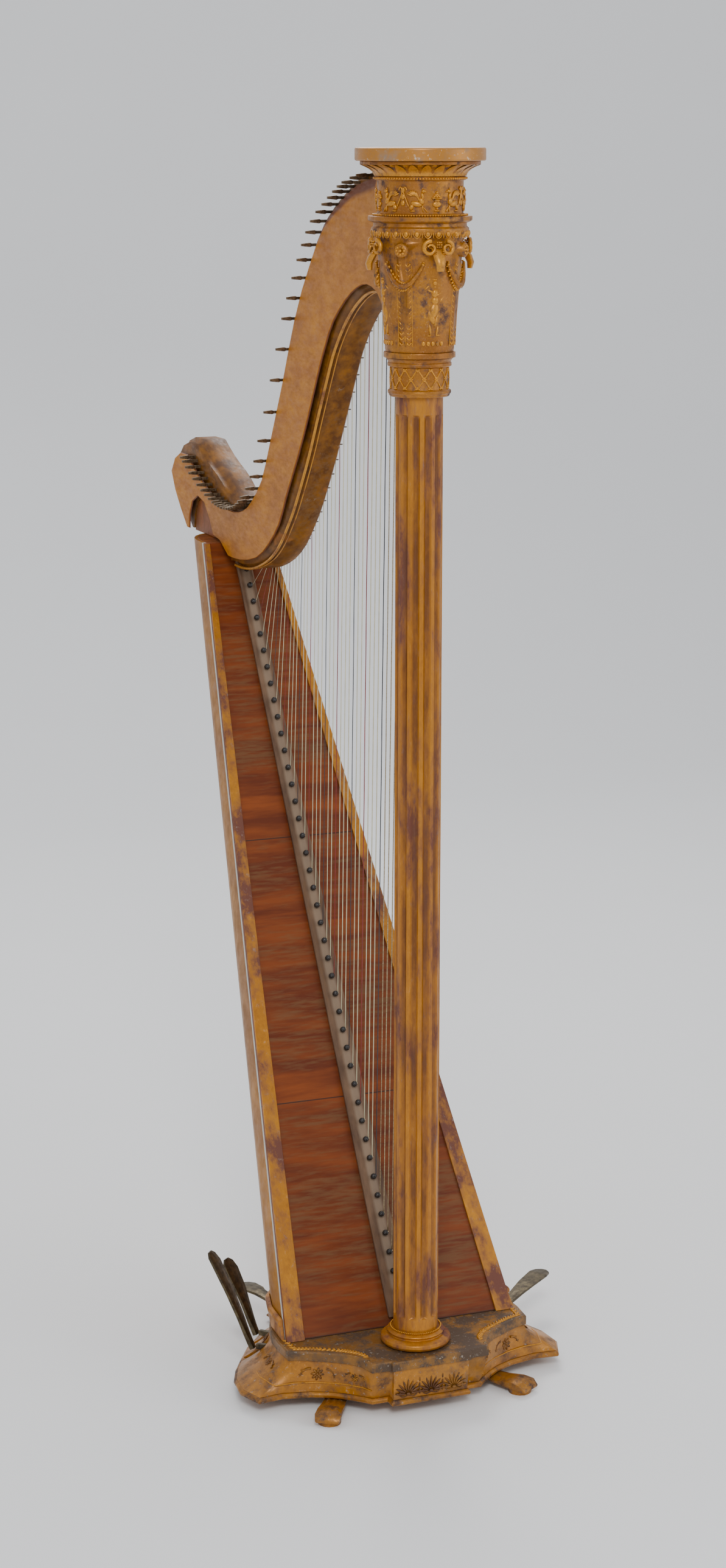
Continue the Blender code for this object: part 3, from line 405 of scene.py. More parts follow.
def make_finishes():
    GROUPS["leaf"] = wear_group()
    GROUPS["grain"] = grain_group()
    red = (0.13, 0.035, 0.016)
    MATS["gilt"] = leaf_material("column gilding", (0.46, 0.165, 0.006), red, 0.42, 34.0, 0.10, (1, 1, 0.30))
    # painted shade: the carved gilding of the capital's ground is darker than the ornament gilding, standing for the
    # shade in the recesses between the raised ornaments
    MATS["carved"] = leaf_material("carved gilding", (0.33, 0.115, 0.006), (0.07, 0.022, 0.007), 0.34, 75.0, 0.25)
    MATS["rim"] = leaf_material("crown gilding", (0.44, 0.17, 0.012), (0.24, 0.16, 0.10), 0.22, 30.0, 0.8)
    MATS["base"] = leaf_material("base gilding", (0.36, 0.135, 0.008), (0.06, 0.024, 0.010), 0.44, 38.0, 0.3)
    MATS["deck"] = leaf_material("dusty deck gilding", (0.26, 0.115, 0.018), (0.07, 0.038, 0.018), 0.66, 30.0, 0.45)
    MATS["band"] = leaf_material("edge gilding", (0.52, 0.20, 0.008), red, 0.50, 26.0, 0.2, (1, 1, 0.4))
    MATS["ornament"] = leaf_material("ornament gilding", (0.60, 0.25, 0.014), (0.07, 0.022, 0.007), 0.16, 90.0, 0.2)
    MATS["applique"] = leaf_material("browned ornaments", (0.11, 0.038, 0.008), (0.03, 0.012, 0.006), 0.35, 90.0, 0.1)
    MATS["moulding"] = leaf_material("neck mouldings", (0.60, 0.26, 0.012), red, 0.30, 40.0, 0.1)
    darken_flutes()
    make_box_finish()
    make_neck_finishes()
    make_soundbox_finishes()
    MATS["bronze"] = plain_material("pedal bronze", (0.125, 0.095, 0.050), (0.055, 0.042, 0.026), 0.40, 0.8, 120.0)
    MATS["iron"] = plain_material("dark iron", (0.045, 0.04, 0.035), (0.12, 0.08, 0.05), 0.5, 0.8, 160.0)
    MATS["screw"] = plain_material("screw heads", (0.30, 0.22, 0.12), (0.10, 0.07, 0.04), 0.35, 0.9, 400.0)
    MATS["peg"] = plain_material("ebony pegs", (0.010, 0.009, 0.008), (0.03, 0.024, 0.02), 0.22, 0.0, 500.0, 0.05)
    MATS["gut"] = plain_material("gut strings", (0.62, 0.55, 0.34), (0.46, 0.42, 0.27), 0.35, 0.0, 60.0, 0.05)
    MATS["red"] = plain_material("red strings", (0.24, 0.02, 0.015), (0.14, 0.015, 0.012), 0.35, 0.0, 60.0, 0.05)
    MATS["black"] = plain_material("dark strings", (0.018, 0.017, 0.022), (0.04, 0.038, 0.04), 0.35, 0.0, 60.0, 0.05)
    MATS["wound"] = plain_material("overspun strings", (0.50, 0.40, 0.24), (0.26, 0.19, 0.10), 0.32, 0.9, 900.0,
                                   0.4, (0.05, 0.05, 1.0))


def darken_flutes():
    """The hollows of the flutes are painted darker than the ridges, in patches, as painted shade in the recesses."""
    tree = MATS["gilt"].node_tree
    vector = next(n for n in tree.nodes if n.type == "TEX_COORD").outputs["Object"]
    from_axis = tree.nodes.new("ShaderNodeVectorMath")
    from_axis.operation = "SUBTRACT"
    tree.links.new(vector, from_axis.inputs[0])
    from_axis.inputs[1].default_value = AXIS
    flat = tree.nodes.new("ShaderNodeVectorMath")
    flat.operation = "MULTIPLY"
    tree.links.new(from_axis.outputs[0], flat.inputs[0])
    flat.inputs[1].default_value = (1.0, 1.0, 0.0)
    reach = tree.nodes.new("ShaderNodeVectorMath")
    reach.operation = "LENGTH"
    tree.links.new(flat.outputs[0], reach.inputs[0])
    patches = ramp(tree, noise(tree, vector, 30.0, 5.0, 0.7, (1, 1, 0.3)), 0.40, 0.60, 0.35, 1.0)
    painted_flute_shade = maths(tree, "MULTIPLY", ramp(tree, reach.outputs["Value"], 0.0303, 0.0280, 0.0, 0.8), patches)
    # painted shade: the flute hollows are darkened towards a deep brown in patches, standing for the shade that falls
    # in them
    paint_over(tree, tree.nodes["Principled BSDF"], painted_flute_shade, (0.10, 0.028, 0.006))


def make_box_finish():
    """The skirt of the pedal box: grey and yellow panels with gilding left in the hollows."""
    mat = leaf_material("pedal box panels", (0.42, 0.155, 0.008), (0.10, 0.042, 0.016), 0.36, 30.0, 0.40,
                        metal=0.3)
    tree = mat.node_tree
    vector = next(n for n in tree.nodes if n.type == "TEX_COORD").outputs["Object"]
    cloud = noise(tree, vector, 9.0, 5.0, 0.65)
    paint_over(tree, tree.nodes["Principled BSDF"], ramp(tree, cloud, 0.50, 0.64, 0.0, 0.55), (0.17, 0.105, 0.05))
    MATS["panel"] = mat


def make_neck_finishes():
    """The varnished cheek, the bare core with its metal pins, and the block at the shoulder."""
    mat, tree, shader, vector, _ = wood_material("varnished cheek", (0.52, 0.195, 0.004), (0.36, 0.115, 0.003), 0.25,
                                                 (1, 0.35, 1), coat=0.04)
    cloud = noise(tree, vector, 11.0, 5.0, 0.7)
    paint_over(tree, shader, ramp(tree, cloud, 0.56, 0.72, 0.0, 0.6), (0.26, 0.085, 0.012))
    x = dot_with(tree, vector, (1, 0, 0))
    paint_over(tree, shader, ramp(tree, x, -0.0540, -0.0532), (0.15, 0.045, 0.018))
    MATS["cheek"] = mat
    mat, tree, shader, vector, _ = wood_material("neck core and pins", (0.27, 0.100, 0.004), (0.10, 0.034, 0.004), 0.7,
                                                 (1, 0.5, 1), bump=0.3)
    chips_and_sheen_noise = noise(tree, vector, 26.0, 6.0, 0.7)
    paint_over(tree, shader, ramp(tree, chips_and_sheen_noise, 0.64, 0.68, 0.0, 0.6), (0.24, 0.20, 0.15))
    flakes = noise(tree, vector, 5.0, 4.0, 0.6)
    paint_over(tree, shader, ramp(tree, flakes, 0.60, 0.64, 0.0, 0.8), (0.48, 0.15, 0.008))
    x = dot_with(tree, vector, (1, 0, 0))
    pins = maths(tree, "ADD", ramp(tree, x, -0.0451, -0.0456), ramp(tree, x, 0.0011, 0.0016))
    spots = noise(tree, vector, 300.0, 3.0, 0.6)
    metal = mix_colour(tree, ramp(tree, spots, 0.35, 0.65), (0.10, 0.07, 0.045, 1), (0.24, 0.17, 0.10, 1))
    under = shader.inputs["Base Color"].links[0].from_socket
    tree.links.new(mix_colour(tree, pins, under, metal), shader.inputs["Base Color"])
    tree.links.new(maths(tree, "MULTIPLY", pins, 0.9), shader.inputs["Metallic"])
    MATS["core"] = mat
    mat, *_ = wood_material("shoulder block", (0.34, 0.09, 0.008), (0.16, 0.04, 0.006), 0.5, (1, 1, 0.4))
    MATS["block"] = mat


def make_soundbox_finishes():
    """The board, the rib along it, the ribbed back and its blocks."""
    mat, tree, shader, vector, _ = wood_material("soundboard", (0.235, 0.052, 0.008), (0.115, 0.022, 0.005), 0.55,
                                                 (0.12, 1, 1), coat=0.08)
    along = dot_with(tree, vector, tuple(UP), UP.dot(ORIGIN))
    for place in (0.343, 0.745):
        paint_over(tree, shader, between(tree, along, place, place + 0.0016), (0.05, 0.02, 0.012))
    paint_over(tree, shader, ramp(tree, along, 0.0095, 0.0085, 0.0, 0.8), (0.05, 0.022, 0.014))
    MATS["board"] = mat
    mat, tree, shader, vector, _ = wood_material("string rib", (0.20, 0.115, 0.065), (0.09, 0.05, 0.03), 0.5,
                                                 (1, 0.25, 0.25))
    middle = dot_with(tree, vector, (1, 0, 0), AXIS.x)
    paint_over(tree, shader, maths(tree, "MULTIPLY", between(tree, middle, -0.006, 0.006, 0.002), 0.6),
               (0.30, 0.22, 0.15))
    MATS["rib"] = mat
    mat, tree, shader, vector, _ = wood_material("ribbed back", (0.46, 0.185, 0.006), (0.28, 0.100, 0.004), 0.35,
                                                 (1, 0.3, 0.3))
    height = dot_with(tree, vector, tuple(NORMAL), NORMAL.dot(ORIGIN))
    chips_and_sheen_noise = noise(tree, vector, 60.0, 4.0, 0.7)
    # painted reflection: a pale band just behind the shell's front edge stands for the white backdrop mirrored in the
    # glossy bevelled side, its edge made ragged by noise; the near-black line above it is a painted dark line
    paint_over(tree, shader, between(tree, maths(tree, "ADD", height, maths(tree, "MULTIPLY", chips_and_sheen_noise, 0.004)),
                                     -0.012, -0.004), (0.55, 0.52, 0.46))
    paint_over(tree, shader, ramp(tree, height, -0.0060, -0.0050), (0.012, 0.011, 0.010))
    MATS["back"] = mat


# the soundboard's own frame: origin at its foot, UP along the strings' rib, NORMAL out towards the strings
ORIGIN = at(0.0, 0.048, 0.0795)
UP = Vector((0.0, 0.5605, 0.82815))
NORMAL = Vector((0.0, -0.82815, 0.5605))
CAD_FINISH = {
    "crown_disc": "rim", "capital_cove": "carved", "capital_frieze": "carved", "capital_cornice": "carved",
    "capital_bell": "carved", "capital_collar": "carved", "capital_foot": "carved", "ram_head_": "ornament",
    "column_shaft": "gilt", "column_base": "gilt", "cheek_board": "cheek", "neck_core": "core",
    "shoulder_block": "block", "soundboard": "board", "edge_strip_": "band", "soundbox_shell": "back",
    "soundbox_top_block": "block", "soundbox_foot_block": "base", "shell_foot_band": "band", "string_rib": "rib",
    "base_board": "base", "base_deck": "deck", "pedal_box": "panel", "foot_": "base", "pedal_arm_": "bronze",
    "pedal_foot_": "bronze", "pedal_rod_": "iron", "pedal_bracket_": "iron",
}


def finish_for(node):
    start = max((s for s in CAD_FINISH if node.startswith(s)), key=len)
    return CAD_FINISH[start]


def board_point(x, s, n):
    return ORIGIN + UP * s + NORMAL * n + Vector((x, 0, 0))


class HarpSettings(bpy.types.PropertyGroup):
    """What can be set before the harp is made."""
    soften: FloatProperty(name="Soften", description="Width of the softened edges", default=0.0007,
                          subtype="DISTANCE", unit="LENGTH")
    bead_size: FloatProperty(name="Bead size", description="Radius of the small beads", default=0.0011,
                             subtype="DISTANCE", unit="LENGTH")
    leaf_count: IntProperty(name="Leaves", description="Leaf tips round the crown's cove", default=24)
    egg_count: IntProperty(name="Eggs", description="Eggs round the capital's egg band", default=28)
    lattice_count: IntProperty(name="Lattice cells", description="Diamonds round the lattice band", default=14)
    floor_colour: FloatVectorProperty(name="Floor colour", description="Colour of the floor", size=3,
                                      default=(0.93, 0.93, 0.92), subtype="COLOR")


class HARP_OT_solids(bpy.types.Operator):
    """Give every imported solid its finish, and soften the ones that show their edges"""
    bl_idname = "harp.solids"
    bl_label = "Finishes"

    def execute(self, context):
        make_finishes()
        soften = context.scene.harp.soften
        hard = ("string_rib", "column_shaft")
        for name, obj in frame["nodes"].items():
            finish = finish_for(name)
            for place in obj.material_slots:
                place.material = MATS[finish]
            if name in hard or frame_body(name) != BODY:
                continue
            dressed(name, MATS[finish], bevel=SOFTEN.get(name, soften),
                    angle=ANGLES.get(name, 38.0))
        return {"FINISHED"}


SOFTEN = {"neck_core": 0.0, "soundbox_shell": 0.0, "pedal_box": 0.0, "capital_bell": 0.0}
ANGLES = {"soundbox_shell": 45.0, "ram_head_front": 70.0, "ram_head_left": 70.0,
          "ram_head_right": 70.0, "foot_front_left": 60.0, "foot_front_right": 60.0, "foot_back_left": 60.0,
          "foot_back_right": 60.0, "capital_bell": 50.0}


def frame_body(node):
    return next(body for body, nodes in frame["record"]["behaviour"]["bodies"].items() if node in nodes)


# strings, their pegs and the rib
PEG_STEPS = [0.026 + 0.0275 * k for k in range(43)]
PIN_MARKS = ((1, 0.107, 1.664), (3, 0.160, 1.654), (6, 0.215, 1.633), (9, 0.282, 1.600), (12, 0.337, 1.546),
             (15, 0.401, 1.462), (17, 0.452, 1.372), (19, 0.509, 1.280), (21, 0.545, 1.224),
             (23, 0.591, 1.188), (26, 0.628, 1.170), (30, 0.675, 1.162), (34, 0.728, 1.165),
             (37, 0.782, 1.177), (40, 0.842, 1.197), (43, 0.885, 1.217))
NECK_LOW = ((0.045, 1.489), (0.070, 1.507), (0.105, 1.514), (0.144, 1.508), (0.187, 1.489),
            (0.226, 1.462), (0.262, 1.428), (0.288, 1.393), (0.335, 1.322), (0.370, 1.268),
            (0.425, 1.196), (0.459, 1.160), (0.499, 1.125), (0.545, 1.099), (0.606, 1.079),
            (0.660, 1.071), (0.700, 1.0705))
WOUND_STRINGS = 7
STRING_X = 0.0316
PIN_X = 0.0345
PIN_R = 0.0019


def pin_places():
    line = smooth_path([(y, z) for _, y, z in PIN_MARKS], 12)
    places = []
    for number in range(1, 44):
        i = max(k for k, mark in enumerate(PIN_MARKS) if mark[0] <= number)
        if i == len(PIN_MARKS) - 1:
            places.append(line[-1])
            continue
        first, last = PIN_MARKS[i][0], PIN_MARKS[i + 1][0]
        step = i * 12 + 12 * (number - first) / (last - first)
        j = min(int(step), len(line) - 2)
        places.append(line[j].lerp(line[j + 1], step - j))
    return places


def neck_low(y):
    line = smooth_path(NECK_LOW, 6)
    for a, b in zip(line, line[1:]):
        if a.x <= y <= b.x:
            return a.y + (b.y - a.y) * (y - a.x) / (b.x - a.x)
    return line[-1].y


def string_kind(k):
    if k < WOUND_STRINGS:
        return "wound"
    return {0: "black", 4: "red"}.get(k % 7, "gut")


def string_route(k, pin):
    """Foot, hook below the neck, bridge pin, and the side of the tuning pin."""
    s = PEG_STEPS[k]
    foot = board_point(0.0058, s + 0.0021, 0.0060)
    y = foot.y - AXIS.y + 0.018 + 0.034 * min(1.0, k / 26) - 0.036 * max(0.0, (k - 26) / 16)
    low = neck_low(min(y, 0.700))
    hook = low + 0.009 + 0.25 * max(0.0, y - 0.600)
    bridge = hook + 0.056 * (hook - foot.z) + 0.004
    radius = 0.00075 - 0.00045 * k / 42
    under = at(STRING_X, y, neck_low(y) - 0.0035)
    over = at(STRING_X, y, bridge)
    top = at(PIN_X, pin.x, pin.y)
    pull = (top - over).normalized()
    reach = PIN_R + radius + GAP
    return foot, under, over, top + Vector((0, pull.z, -pull.y)) * reach, top, radius


def coil(top, end, radius, turns=2.6):
    """Turns of a string round its tuning pin."""
    start = end - top
    angle = math.atan2(start.z, start.y)
    reach = math.hypot(start.y, start.z)
    steps = int(turns * 12)
    out = []
    for i in range(steps + 1):
        a = angle - 2 * math.pi * i / 12
        out.append(top + Vector((-2.1 * radius * i / 12, reach * math.cos(a), reach * math.sin(a))))
    return out


class HARP_OT_strings(bpy.types.Operator):
    """Make the rib, its ebony pegs and the strings, each kind in its own finish"""
    bl_idname = "harp.strings"
    bl_label = "Strings"

    def execute(self, context):
        bm = bmesh.new()
        rings = []
        for s in [0.018 + i * 0.0296 for i in range(41)]:
            w = 0.0175 - 0.0045 * s
            section = ((-w, 0.0006), (-w, 0.0040), (-w + 0.0025, 0.0058), (0.0, 0.0062), (w - 0.0025, 0.0058),
                       (w, 0.0040), (w, 0.0006))
            ring = []
            for x, n in section:
                low = (0.0970 - 0.0795 - n * 0.5605) / 0.82815
                high = (1.0778 - 0.0795 - n * 0.5605) / 0.82815
                ring.append(board_point(x, min(max(s, low), high), n))
            rings.append(ring)
        loft(bm, rings)
        piece("rib_board", bm, MATS["rib"], ("string_rib",), angle=30.0)
        bm = bmesh.new()
        profile = ((0.0022, 0.0058), (0.0022, 0.0072), (0.0031, 0.0080), (0.0042, 0.0098), (0.0043, 0.0120),
                   (0.0038, 0.0142), (0.0026, 0.0158), (0.0009, 0.0165))
        for s in PEG_STEPS:
            rings = []
            for r, n in profile:
                middle = board_point(0.0, s, n)
                rings.append([middle + Vector((r * math.cos(a), 0, 0)) + UP * (r * math.sin(a))
                              for a in [2 * math.pi * q / 12 for q in range(12)]])
            loft(bm, rings)
        piece("string_pegs", bm, MATS["peg"], angle=60.0)
        kinds = {kind: bmesh.new() for kind in ("gut", "red", "black", "wound")}
        for k, pin in enumerate(pin_places()):
            foot, under, over, end, top, radius = string_route(k, pin)
            bm = kinds[string_kind(k)]
            tube(bm, [foot, under, over, end], radius, 6)
            tube(bm, coil(top, end, radius), radius, 5)
            lump(bm, foot + NORMAL * 0.0004, NORMAL, UP, (radius * 2.4, radius * 2.4, radius * 1.6))
        for kind, bm in kinds.items():
            piece(f"strings_{kind}", bm, MATS[kind], angle=60.0)
        return {"FINISHED"}


# the fluted shaft
SHAFT_R = 0.0308
FLUTES = 12
FLUTE_DEEP = 0.0036


def shaft_ring(z, depth):
    """Section of the shaft: flat ridges between round hollows."""
    ring = []
    for i in range(FLUTES):
        for u in (0.0, 0.09, 0.17, 0.20, 0.27, 0.38, 0.50, 0.62, 0.73, 0.80, 0.83, 0.91):
            dip = math.sin(math.pi * (u - 0.17) / 0.66) ** 0.75 if 0.17 < u < 0.83 else 0.0
            ring.append(around(SHAFT_R - depth * dip, 2 * math.pi * (i + u - 0.5) / FLUTES, z))
    return ring


class HARP_OT_shaft(bpy.types.Operator):
    """Turn the shaft and run its twelve flutes between the plain bands"""
    bl_idname = "harp.shaft"
    bl_label = "Fluted shaft"

    def execute(self, context):
        rings = [shaft_ring(0.1052, 0.0), shaft_ring(0.1248, 0.0)]
        for t in (0.05, 0.25, 0.55, 0.85, 1.0):
            rings.append(shaft_ring(0.1250 + 0.0060 * t, FLUTE_DEEP * math.sqrt(1 - (1 - t) ** 2)))
        for i in range(1, 12):
            rings.append(shaft_ring(0.1310 + (1.3580 - 0.1310) * i / 12, FLUTE_DEEP))
        for t in (1.0, 0.85, 0.55, 0.25, 0.05):
            rings.append(shaft_ring(1.3640 - 0.0060 * t, FLUTE_DEEP * math.sqrt(1 - (1 - t) ** 2)))
        rings += [shaft_ring(1.3642, 0.0), shaft_ring(1.3863, 0.0)]
        bm = bmesh.new()
        loft(bm, rings)
        piece("fluted_shaft", bm, MATS["gilt"], ("column_shaft",), angle=30.0)
        return {"FINISHED"}


class HARP_OT_neck_mouldings(bpy.types.Operator):
    """Run the yellow strip and the fine bead along the lower edge of the neck"""
    bl_idname = "harp.neck_mouldings"
    bl_label = "Neck mouldings"

    def execute(self, context):
        line = smooth_path(NECK_LOW, 4)
        for name, x, radius, reach in (("neck_strip", -0.0182, 0.0021, -0.0006), ("neck_bead", -0.0112, 0.0009, 0.0)):
            points = []
            for i, p in enumerate(line):
                ahead = (line[min(i + 1, len(line) - 1)] - line[max(i - 1, 0)]).normalized()
                down = Vector((ahead.y, -ahead.x))
                points.append(at(x, p.x + down.x * reach, p.y + down.y * reach))
            bm = bmesh.new()
            tube(bm, points, radius, 8)
            piece(name, bm, MATS["moulding"], angle=60.0)
        return {"FINISHED"}


# carving on the column and capital
def bell_radius(z):
    return 0.0445 + 0.0110 * (max(0.0, z - 1.4475) / 0.1365) ** 1.6


class HARP_OT_capital(bpy.types.Operator):
    """Carve the beads, leaf tips, egg band, lattice and relief figures of the capital"""
    bl_idname = "harp.capital"
    bl_label = "Capital carving"

    def execute(self, context):
        settings = context.scene.harp
        beads = bmesh.new()
        size = settings.bead_size
        for radius, z, factor in ((0.0600, 1.6167, 1.35), (0.0588, 1.6621, 1.5), (0.0376, 1.3925, 1.2),
                                  (0.0385, 1.4285, 1.2), (0.0345, 0.1062, 1.1)):
            count = int(2 * math.pi * radius / (2.3 * size * factor))
            bead_row(beads, radius, z, count, size * factor)
        piece("bead_rows", beads, MATS["ornament"], angle=80.0)
        self.leaves(settings.leaf_count)
        self.eggs(settings.egg_count)
        self.lattice(settings.lattice_count)
        self.frieze()
        self.dancers()
        self.garlands()
        self.horns()
        self.pilaster_leaves()
        return {"FINISHED"}

    def leaves(self, count):
        bm = bmesh.new()
        for i in range(count * 2):
            back = i % 2
            middle = 2 * math.pi * i / (count * 2)
            rings = []
            for k in range(8):
                t = k / 7
                radius = 0.0580 + 0.0185 * t ** 1.9 + (0.0012 if not back else 0.0) * math.sin(math.pi * min(t, 0.9))
                z = 1.6650 + (0.0150 if back else 0.0138) * t ** 0.8
                half = (0.0062 if not back else 0.0045) * math.sin(math.pi * (0.22 + 0.74 * t)) ** 0.8 + 0.0002
                ring = []
                for u, high in ((-1, 0.0), (-0.5, 0.0009), (0, 0.0004), (0.5, 0.0009), (1, 0.0), (0, -0.0012)):
                    ring.append(around(radius + high, middle + u * half / radius, z))
                rings.append(ring)
            loft(bm, rings)
        piece("cove_leaves", bm, MATS["ornament"], angle=50.0)

    def eggs(self, count):
        bm = bmesh.new()
        for i in range(count):
            degrees = 360.0 * i / count
            bump_on_drum(bm, 0.0617, degrees, 1.5938, (0.0031, 0.0042, 0.0026), rings=8, segments=10)
            middle = math.radians(degrees)
            frame_line = []
            for k in range(9):
                a = math.pi * (1.0 + k / 8)
                frame_line.append(around(0.0624, middle + 0.0047 * math.cos(a) / 0.0624,
                                         1.5955 + 0.0066 * math.sin(a)))
            tube(bm, frame_line, 0.0006, 5)
            bump_on_drum(bm, 0.0620, degrees + 180.0 / count, 1.5925, (0.0008, 0.0048, 0.0014))
        piece("egg_band", bm, MATS["ornament"], angle=60.0)

    def lattice(self, count):
        bm = bmesh.new()
        low, high = 1.3975, 1.4235
        for i in range(count):
            for way in (1, -1):
                line = []
                for k in range(7):
                    t = k / 6
                    a = 2 * math.pi * (i + way * t) / count
                    line.append(around(0.0379, a, low + (high - low) * t))
                tube(bm, line, 0.0009, 5)
            for row, z in ((0.5, (low + high) / 2), (0.0, low + 0.0005), (0.0, high - 0.0005)):
                degrees = 360.0 * (i + row) / count
                for dx, dz in ((1, 0), (-1, 0), (0, 1), (0, -1)):
                    if (z < low + 0.001 and dz < 0) or (z > high - 0.001 and dz > 0):
                        continue
                    bump_on_drum(bm, 0.0378, degrees + dx * 2.9, z + dz * 0.0021, (0.0014, 0.0014, 0.0010),
                                 rings=5, segments=6)
                bump_on_drum(bm, 0.0382, degrees, z, (0.0009, 0.0009, 0.0010), rings=5, segments=6)
        piece("lattice_band", bm, MATS["ornament"], angle=60.0)

    def frieze(self):
        """Griffins that face an urn of fruit, four times round the drum."""
        bm = bmesh.new()
        r = 0.0557
        for turn in (0, 90, 180, 270):
            for z, across, tall in ((1.6225, 0.0042, 0.0013), (1.6252, 0.0014, 0.0020), (1.6305, 0.0060, 0.0042),
                                    (1.6352, 0.0042, 0.0018), (1.6375, 0.0066, 0.0010)):
                bump_on_drum(bm, r, turn, z, (across, tall, 0.0022), rings=7, segments=10)
            for dx, dz in ((0, 0.0125), (-3.4, 0.0100), (3.4, 0.0100), (-1.8, 0.0118), (1.8, 0.0118), (0, 0.0098),
                           (-5.0, 0.0082), (5.0, 0.0082), (0, 0.0150)):
                bump_on_drum(bm, r, turn + dx, 1.6300 + dz, (0.0021, 0.0019, 0.0024))
            for way in (1, -1):
                self.griffin(bm, r, turn + way * 27.0, -way)
                line = smooth_path([around(r + 0.0006, math.radians(turn + way * x), z) for x, z in
                                    ((37, 1.628), (40.5, 1.636), (44, 1.646), (42, 1.652), (39.5, 1.648))], 3)
                tube(bm, line, 0.0009, 6)
            for dz in (-0.008, 0.0, 0.008):
                bump_on_drum(bm, r, turn + 45.0, 1.6400 + dz, (0.0030, 0.0040, 0.0016), rings=6, segments=8)
        piece("frieze_relief", bm, MATS["ornament"], angle=70.0)

    def griffin(self, bm, r, place, way):
        parts = ((0, 1.6310, 0.0078, 0.0040, 0.0025, 12), (6.5, 1.6345, 0.0034, 0.0052, 0.0028, -20),
                 (7.8, 1.6410, 0.0021, 0.0048, 0.0026, -12), (9.2, 1.6468, 0.0031, 0.0026, 0.0028, 0),
                 (12.2, 1.6458, 0.0018, 0.0010, 0.0016, 0), (7.8, 1.6496, 0.0006, 0.0017, 0.0012, 10),
                 (8.2, 1.6255, 0.0012, 0.0050, 0.0016, -8), (11.5, 1.6240, 0.0011, 0.0042, 0.0016, -35),
                 (-6.4, 1.6270, 0.0030, 0.0042, 0.0022, 20), (-5.2, 1.6222, 0.0040, 0.0012, 0.0018, 0))
        for x, z, across, tall, out, tilt in parts:
            bump_on_drum(bm, r, place + way * x, z, (across, tall, out), -way * tilt)
        for i in range(6):
            bump_on_drum(bm, r + 0.0008, place + way * (1.6 - i * 2.1), 1.6405 + 0.0024 * i - 0.0004 * i * i,
                         (0.0014, 0.0068 - 0.0005 * i, 0.0014), way * (22 + 9 * i))

    def dancers(self):
        """A dancing figure with floating drapery in each panel of the bell, below the rams."""
        bm = bmesh.new()
        for number, turn in enumerate((0, 90, 180, 270)):
            way = 1 if number % 2 == 0 else -1
            parts = ((0, 1.5330, 0.0030, 0.0036, 0.0032, 0), (0, 1.5372, 0.0034, 0.0016, 0.0024, 0),
                     (0, 1.5278, 0.0012, 0.0022, 0.0020, 0), (0.6, 1.5200, 0.0044, 0.0062, 0.0034, 6),
                     (1.4, 1.5110, 0.0052, 0.0056, 0.0034, 12), (0.5, 1.4985, 0.0062, 0.0105, 0.0034, 10),
                     (-3.8, 1.4900, 0.0042, 0.0105, 0.0026, -22), (4.6, 1.4860, 0.0024, 0.0100, 0.0022, 16),
                     (-5.6, 1.4740, 0.0017, 0.0080, 0.0022, -8), (6.5, 1.4730, 0.0016, 0.0070, 0.0020, 10),
                     (-7.2, 1.4665, 0.0034, 0.0012, 0.0020, 0), (7.8, 1.4670, 0.0032, 0.0012, 0.0018, 0),
                     (-6.0, 1.5225, 0.0052, 0.0015, 0.0020, 28), (-11.5, 1.5275, 0.0042, 0.0013, 0.0018, -42),
                     (7.0, 1.5190, 0.0052, 0.0015, 0.0020, -32), (12.0, 1.5120, 0.0044, 0.0013, 0.0018, -58))
            for x, z, across, tall, out, tilt in parts:
                radius = bell_radius(z) + 0.0006
                bump_on_drum(bm, radius, turn + way * x, z, (across, tall, out), -way * tilt, 7, 9)
            for i in range(5):
                start = (-12.0 + i * 1.0, 1.5270 - i * 0.0012)
                line = [(start[0], start[1]), (-15.0 + i, 1.515), (-13.5 + i * 0.8, 1.503), (-15.5 + i * 1.1, 1.489)]
                path = [around(bell_radius(z) + 0.0008,
                               math.radians(turn + way * x), z) for x, z in line]
                tube(bm, smooth_path(path, 4), 0.0008, 5)
            for x in (-16, -8, 0, 8, 16):
                bump_on_drum(bm, 0.0452, turn + x, 1.4565, (0.0026, 0.0036, 0.0016), rings=6, segments=7)
        piece("bell_figures", bm, MATS["ornament"], angle=70.0)

    def garlands(self):
        """Thick swags of fruit and leaves over the ropes that hang between the rams."""
        bm = bmesh.new()
        for start, end in ((-72, -18), (18, 72), (106, 140), (-140, -106)):
            count = max(7, int((end - start) / 3.1))
            for i in range(count + 1):
                t = i / count
                degrees = start + (end - start) * t
                z = 1.5560 - 0.0280 * math.sin(math.pi * t) ** 0.9
                radius = bell_radius(z) + 0.0040
                big = 0.0021 + 0.0014 * math.sin(math.pi * t)
                bump_on_drum(bm, radius, degrees, z, (big, big, big * 1.1), rings=6, segments=8)
                for way in (1, -1):
                    bump_on_drum(bm, radius - 0.0012, degrees + way * 1.2, z + way * big * 1.1,
                                 (big * 0.55, big * 1.0, big * 0.7), way * 38 + 60 * (t - 0.5), 5, 7)
        for turn in (45, 135, 225, 315):
            for i in range(8):
                a = 2 * math.pi * i / 8
                bump_on_drum(bm, 0.0640, turn + 4.6 * math.cos(a), 1.5735 + 0.0052 * math.sin(a),
                             (0.0018, 0.0018, 0.0013), rings=6, segments=7)
            bump_on_drum(bm, 0.0640, turn, 1.5735, (0.0022, 0.0022, 0.0022), rings=6, segments=8)
        piece("garlands", bm, MATS["ornament"], angle=70.0)

